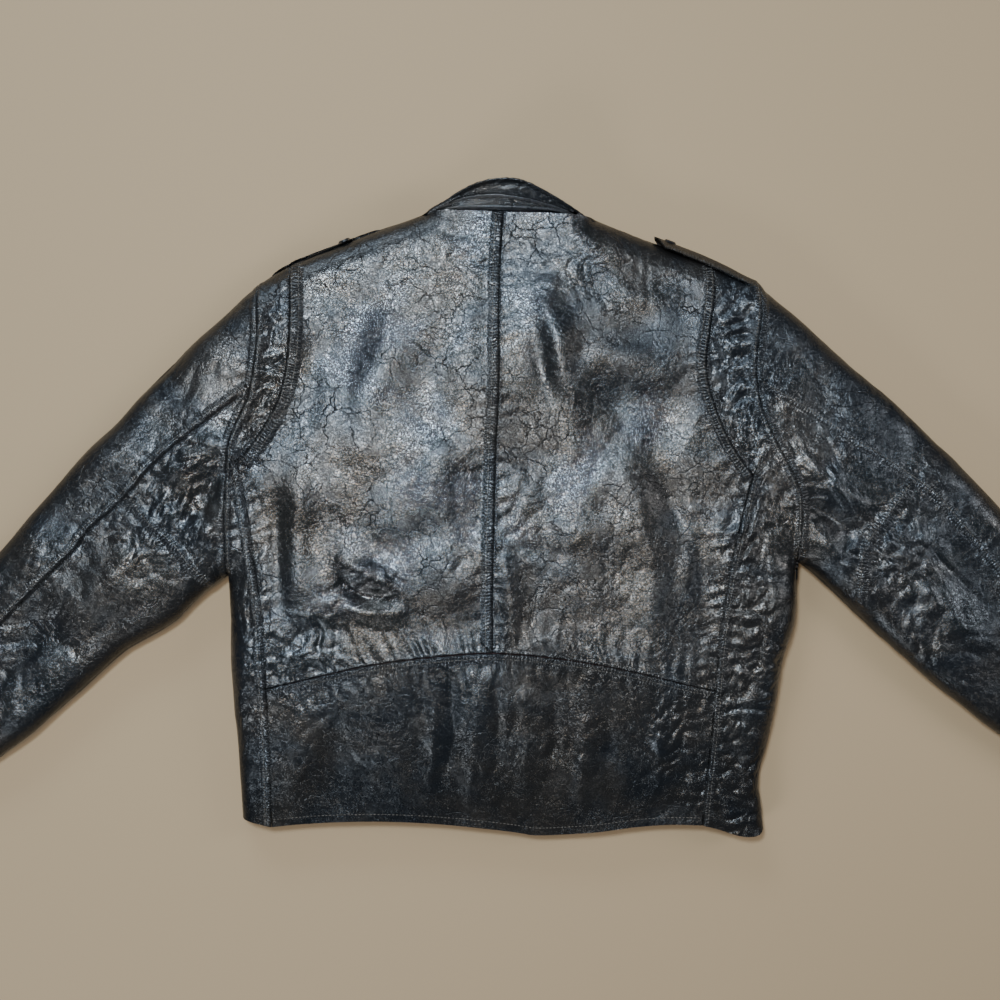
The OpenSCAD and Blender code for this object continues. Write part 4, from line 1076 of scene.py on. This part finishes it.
def sleeve_tube(name, low, high, start, end, drop, thickness, material):
    """Rings inside a sleeve between two shares of its length, the last point of each on its first."""
    vs = np.linspace(start, end, max(3, int(run_of(high) * (end - start) / 6)))
    a, b = pick(low, vs), pick(high, vs)
    us = np.linspace(0.05, 0.95, 26)[None, :, None]
    plan = a[:, None] * (1 - us) + b[:, None] * us
    top = top_point(plan.reshape(-1, 2), drop)[0].reshape(plan.shape[:2] + (3,))
    under = under_point(plan.reshape(-1, 2), drop)[0].reshape(plan.shape[:2] + (3,))
    grid = np.concatenate([top, under[:, ::-1], top[:, :1]], axis=1)
    n = grid_normals(grid)
    outward = n * math.copysign(1, n[len(grid) // 2, 13, 2])
    return shell(name, grid, thickness, [material], None, None, outward)


for side, low, high in (("left", SLEEVE_LOW_L, SLEEVE_TOP_L), ("right", SLEEVE_LOW_R, SLEEVE_TOP_R)):
    for name, place, start, end, flat, cad_name in (
            ("upper", "shoulder", 0.04, SLEEVE_SPLIT, (0.36, 0.1), "upper_sleeve_lining"),
            ("lower", "elbow", SLEEVE_SPLIT, 0.93, (0.3, 0.44), "forearm_lining")):
        tube = sleeve_tube(f"sleeve_lining_{name}_{side}", low, high, start, end, 3.6, 0.6, dark_red_cloth)
        bend(tube, side, place, f"{cad_name}_{side}")
    carry(sleeve_tube(f"cuff_facing_leather_{side}", low, high, 0.935, 0.992, 2.6, 1.2, leather),
          f"{side}_forearm", f"cuff_facing_{side}")

# ---------------- collar

CREST = curve((-91, 291), (-64, 308), (-38, 321), (-14, 325), (7, 323.5), (28, 314), (57, 299), (82, 284))
LEAF_EDGE = curve((-92, 290), (-67, 302.5), (-40, 308.5), (-14, 309), (19, 303.5), (50, 295), (83, 283))
COLLAR_SEAM = curve((-86, 288), (-67, 295), (-11, 292), (46, 291), (77, 283))


def arch(us, low, high, power=0.8):
    return low + (high - low) * np.sin(np.pi * np.clip(us * 0.94 + 0.03, 0, 1)) ** power


COLLAR_ROWS = 40


def collar_grid(us, sections):
    """Rows of points from (curve, height) sections joined by a smooth line across the collar."""
    rows = []
    for c, z, back in sections:
        p = pick(c, us)
        rows.append(np.column_stack([p[:, 0], p[:, 1] + back, z]))
    rows = np.array(rows)
    grid = np.empty((COLLAR_ROWS, len(us), 3))
    for k, t in enumerate(np.linspace(0, len(rows) - 1, COLLAR_ROWS)):
        i = min(int(t), len(rows) - 2)
        f = t - i
        a, b = rows[max(i - 1, 0)], rows[min(i + 2, len(rows) - 1)]
        p, q = rows[i], rows[i + 1]
        grid[k] = 0.5 * ((2 * p) + (q - a) * f + (2 * a - 5 * p + 4 * q - b) * f * f
                         + (3 * p - a - 3 * q + b) * f**3)
    return grid


us = np.linspace(0, 1, 140)
full = np.sin(np.pi * np.clip(us, 0, 1)) ** 0.55 * 0.94 + 0.06
crest_z, edge_z, seam_z = arch(us, 22, 66), arch(us, 22, 54, 0.7), arch(us, 22, 44.5, 0.35)
leaf_grid = collar_grid(us, [(CREST, crest_z - 12 * full, -4.5 * full),
                             (CREST, crest_z - 3 * full, -1.6 * full), (CREST, crest_z, -3.2 * full),
                             (CREST, crest_z - 5 * full, -7.0 * full),
                             (LEAF_EDGE, edge_z + 4 * full, 2.0 * full), (LEAF_EDGE, edge_z, 0)])
wrinkle = crumple(leaf_grid[..., 0], leaf_grid[..., 1] * 1.6 + leaf_grid[..., 2], 11, 1300, 1.5, 90) - 0.5
leaf_grid += grid_normals(leaf_grid) * (wrinkle * 0.8 * full)[..., None]
leaf_run = np.broadcast_to(us * 190, leaf_grid.shape[:2])
leaf_edge = np.broadcast_to(np.arange(COLLAR_ROWS)[::-1, None] * 0.8, leaf_grid.shape[:2])
leaf_marks = np.stack([leaf_run, leaf_edge, ease((6 - leaf_edge) / 3)], 2)
leaf = shell("collar_leaf_leather", leaf_grid, 1.8, [leather, leather], leaf_marks, (0, -0.4, 1))
stand_grid = collar_grid(us, [(COLLAR_SEAM, seam_z - 5 * full, -2 * full),
                              (COLLAR_SEAM, seam_z - 1, 1.5 * full),
                              (COLLAR_SEAM, seam_z + 2 * full, 4.5 * full),
                              (CREST, crest_z - 13 * full, -9.5 * full),
                              (CREST, crest_z - 6 * full, -6.5 * full)])
stand = shell("collar_stand_leather", stand_grid, 1.8, [leather], None, (0, -0.4, 1))


PIPING_SIDES = 10


def piping(name, points, radius):
    """A thin round edge along points, closed at both ends, in leather painted lighter as a highlight."""
    sides = PIPING_SIDES
    way = np.gradient(points, axis=0)
    way /= np.linalg.norm(way, axis=1)[:, None]
    side = np.cross(way, (0, 0, 1))
    side /= np.linalg.norm(side, axis=1)[:, None]
    up = np.cross(side, way)
    from_end = np.minimum(np.arange(len(points)), np.arange(len(points))[::-1])
    taper = np.clip(from_end / 4, 0.15, 1)[:, None] * radius
    turns = np.arange(sides) * 2 * math.pi / sides
    rings = np.stack([points + side * taper * math.cos(t) + up * taper * math.sin(t) for t in turns], 1)
    count = len(points)
    k = (np.arange(count - 1)[:, None] * sides + np.arange(sides)).ravel()
    m = (np.arange(count - 1)[:, None] * sides + (np.arange(sides) + 1) % sides).ravel()
    quads = np.column_stack([k, m, m + sides, k + sides])
    caps = np.array([np.arange(sides)[::-1], (count - 1) * sides + np.arange(sides)])
    edge = make_mesh(name, rings.reshape(-1, 3), [(quads, 0), (caps, 0)], [highlight_painted_leather])
    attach(edge, "collar")


piping("collar_leaf_piping", leaf_grid[-1, 2:-2] + (0, -0.6, -0.4), 1.15)
piping("collar_inner_piping", leaf_grid[-1, 6:-6] + (0, -1.6, -2.4), 0.9)
seam_line = pick(COLLAR_SEAM, us)
roll = np.column_stack([seam_line[:, 0], seam_line[:, 1] + 5.2 * full, seam_z + 3.2 * full])
piping("collar_seam_piping", roll[12:-12], 1.3)
carry(leaf, "collar", "collar_leaf")
carry(stand, "collar", "collar_stand")

# ---------------- shoulder straps


STRAP_ALONG, STRAP_ACROSS = 64, 34     # points of the mesh
STRAP_LENGTH, STRAP_BULK = 111, 3.6


def strap(side, shoulder, neck, low_angle, high_angle):
    """A strap over the folded shoulder, pointed towards the neck."""
    a, b = np.array(shoulder, float), np.array(neck, float)
    way = (b - a) / math.hypot(*(b - a))
    out = np.array([-way[1], way[0]]) * (1 if side == "left" else -1)
    us = np.linspace(0, 1, STRAP_ALONG)
    vs = np.linspace(-1, 1, STRAP_ACROSS)
    grid = np.empty((len(vs), len(us), 3))
    for j, u in enumerate(us):
        narrow = 1 - 0.12 * u - 0.88 * np.clip((u - 0.88) / 0.12, 0, 1) ** 1.3
        foot = a + way * (1.5 + STRAP_LENGTH * u)
        h = float(loft(np.array([foot]))[0])
        mid, radius = h * MID_Z, h * FOLD_RADIUS
        for i, v in enumerate(vs):
            angle = math.radians((low_angle + high_angle) / 2 + v * narrow * (high_angle - low_angle) / 2)
            proud = STRAP_BULK * ease(u * 1.6) * math.cos(angle) ** 2 + 1.4 + 1.6 * ease(u * 3)
            base = foot - out * radius * (1 - math.cos(angle)) + out * proud * math.cos(angle)
            tall = (h - mid) if angle > 0 else mid
            grid[i, j] = (*base, max(2.2, mid + (tall + proud * 0.9) * math.sin(angle)))
    return grid


for side, shoulder, neck, low_angle, high_angle in (("left", SHOULDER_L, NECK_L, -60, 20),
                                                    ("right", SHOULDER_R, NECK_R, -44, 44)):
    grid = strap(side, shoulder, neck, low_angle, high_angle)
    row = np.arange(STRAP_ACROSS)
    inward = np.broadcast_to(np.minimum(row, row[::-1])[:, None] * 1.2, grid.shape[:2])
    run = np.broadcast_to(np.arange(STRAP_ALONG) * 1.75, grid.shape[:2])
    marks = np.stack([run, inward, ease((5 - inward) / 2)], 2)
    piece = shell(f"shoulder_strap_{side}", grid, 2.6, [dull_leather, suede], marks, (0, 1, 0.2))
    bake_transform(piece)
    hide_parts(f"epaulet_{side}")

# ---------------- small cloth and leather parts

ring = np.linspace(0, math.pi, 40)
loop_grid = np.array([[(-12 + r * math.cos(t), 284 - r * math.sin(t), 35 - 0.5 * math.sin(3 * t))
                       for t in ring] for r in np.linspace(24, 30, 5)])
carry(shell("hanger_strap", loop_grid, 1.3, [dull_leather], None, (0, 0, 1)), "jacket_body", "hanger_loop")

for side, (x, y) in (("left", (-194, -130)), ("right", (168, -132))):
    us, vs = np.linspace(-1, 1, 16), np.linspace(0, 1, 36)
    bag = np.array([[(x + u * (20 + 3.5 * math.sin(math.pi * v)), y - 116 * v + 2 * u * u * v,
                      12.4 + 0.7 * math.sin(u * 5 + v * 9)) for u in us] for v in vs])
    piece = shell(f"pocket_pouch_{side}", bag, 2.0, [pocket_cotton], None, (0, 0, 1))
    carry(piece, "jacket_body", f"pocket_bag_{side}")


STRIP_STEP, STRIP_THICKNESS = 3, 0.8


def strip(name, ends, section, side, material, body):
    """A long strip between two plan points. section is a list of (offset, z), and side is +1 for offsets
    to the left of travel or -1 to the right."""
    a, b = np.array(ends, float)
    way = (b - a) / math.hypot(*(b - a))
    left = np.array([-way[1], way[0]])
    run = np.linspace(0, 1, max(3, int(math.hypot(*(b - a)) / STRIP_STEP)))
    grid = np.array([[(*(a * (1 - t) + b * t + left * (side * o)), z) for o, z in section] for t in run])
    piece = shell(name, grid, STRIP_THICKNESS, [material], None, (0, 0, -1))
    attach(piece, body)


ZIP_TAPE = ((8, 8.8), (5.2, 8.6), (4.5, 7), (3.6, 5.4), (1.0, 5.3))
for side, sign in (("left", 1), ("right", -1)):
    strip(f"front_zip_tape_{side}", ((CENTRE_X, -312), (CENTRE_X, 244)), ZIP_TAPE, sign, tape_cloth,
          f"{side}_front")

CUFF_ZIPS = {"left": ((-653.5, -272.7), (-564, -193.4)), "right": ((652.2, -251.1), (559.6, -174.8))}


LIP = ((6.3, 5.0), (6.4, 3.9), (7.2, 3.1), (8.8, 3.0), (10.4, 3.9), (11.4, 5.6))
POCKET_TAPE = [(o, 5.25) for o in (-7, -3, 0, 3, 7)]
LIP_OVERHANG = 6      # how far the lips run on past both ends of a zip


def lips(name, ends, body):
    """Two rolled leather lips with a tape behind, along a zip set into a slot."""
    (ax, ay), (bx, by) = ends
    over = LIP_OVERHANG / math.hypot(bx - ax, by - ay)
    ends = ((ax + (ax - bx) * over, ay + (ay - by) * over), (bx + (bx - ax) * over, by + (by - ay) * over))
    for letter, sign in (("a", -1), ("b", 1)):
        strip(f"{name}_lip_{letter}", ends, LIP, sign, dull_leather, body)
    strip(f"{name}_tape", ends, POCKET_TAPE, 1, tape_cloth, body)


for side, ends in POCKETS.items():
    lips(f"pocket_{side}", ends, "jacket_body")
for side, ends in CUFF_ZIPS.items():
    lips(f"cuff_{side}", ends, f"{side}_forearm")

# ---------------- stitches


PITCH = 3.7           # from one stitch to the next
STITCH, THREAD = 1.35, 0.36            # half a stitch's length, and the thread's radius


def stitches(name, c, offset, place=None, under=False, start=0.0, end=1.0):
    """A row of sewn stitches beside a curve: offset is to its left, and place is a side and a fold."""
    run = lengths(c)[-1]
    at = np.arange(run * start + PITCH, run * end - PITCH, PITCH) / run
    p, q = pick(c, np.clip(at - 1.5 / run, 0, 1)), pick(c, np.clip(at + 1.5 / run, 0, 1))
    way = (q - p) / np.hypot(*(q - p).T)[:, None]
    plan = (p + q) / 2 + np.column_stack([-way[:, 1], way[:, 0]]) * offset
    surface = under_point if under else top_point
    size = STITCH * (1 + 0.12 * np.sin(at * 900))
    a, b = surface(plan - way * size[:, None])[0], surface(plan + way * size[:, None])[0]
    middle = surface(plan)[0]
    along = (b - a) / np.linalg.norm(b - a, axis=1)[:, None]
    side = np.cross(along, (0, 0, -1 if under else 1))
    side /= np.linalg.norm(side, axis=1)[:, None]
    up = np.cross(side, along)
    rings, sides = (-1, -0.62, 0, 0.62, 1), 6
    vertices = []
    for s in rings:
        fat = THREAD * (1 - 0.75 * abs(s) ** 3)
        lift = 0.30 - 0.42 * s * s
        for turn in np.arange(sides) * 2 * math.pi / sides:
            vertices.append(middle + along * (s * size)[:, None] + side * (fat * math.cos(turn))
                            + up * (lift + fat * math.sin(turn)))
    vertices = np.stack(vertices, 1).reshape(-1, 3)
    per = len(rings) * sides
    k = np.arange(per - sides)
    m = k - k % sides + (k + 1) % sides
    each = np.arange(len(at))[:, None, None] * per
    faces = (np.column_stack([k, m, m + sides, k + sides])[None] + each).reshape(-1, 4)
    caps = np.array([np.arange(sides)[::-1], per - sides + np.arange(sides)])
    row = make_mesh(name, vertices, [(faces, 0), ((caps[None] + each).reshape(-1, sides), 0)], [thread])
    if place is None:
        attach(row, "jacket_body")
    else:
        bend(row, *place)


for name, seam, offset in (
        ("centre", CENTRE_TOP, 6.6), ("waist", WAIST, -5.2), ("side_left", SIDE_L, 6),
        ("side_right", SIDE_R, -5), ("pleat_left_a", PLEAT_L, -2.4), ("pleat_left_b", PLEAT_L, -9),
        ("pleat_right_a", PLEAT_R, 2.4), ("pleat_right_b", PLEAT_R, 7.5),
        ("armhole_left", ARMHOLE_L, -2.6), ("armhole_right", ARMHOLE_R, 2.8), ("hem", HEM, 7.5)):
    stitches(f"stitch_{name}", seam, offset)
for side, sign, seam, cross in (("left", 1, BACK_SEAM_L, CROSS_L), ("right", -1, BACK_SEAM_R, CROSS_R)):
    stitches(f"stitch_sleeve_upper_{side}", seam, -5.2 * sign, (side, "shoulder"), end=SLEEVE_SPLIT)
    stitches(f"stitch_sleeve_lower_{side}", seam, -5.2 * sign, (side, "elbow"), start=SLEEVE_SPLIT)
    stitches(f"stitch_cross_{side}", cross, 5 * sign, (side, "shoulder"))
    edge_x = CENTRE_X - sign * ZIP_EDGE
    stitches(f"stitch_front_{side}", straight((edge_x, -312), (edge_x, 246)), sign * 5, (side, "front"),
             under=True)

# ---------------- metal carried over from the CAD model

for name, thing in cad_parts.items():
    if "zip" in name or "slider" in name or "pull" in name or "snap" in name:
        thing.data.materials.clear()
        thing.data.materials.append(snap_steel if "snap" in name else zip_steel)
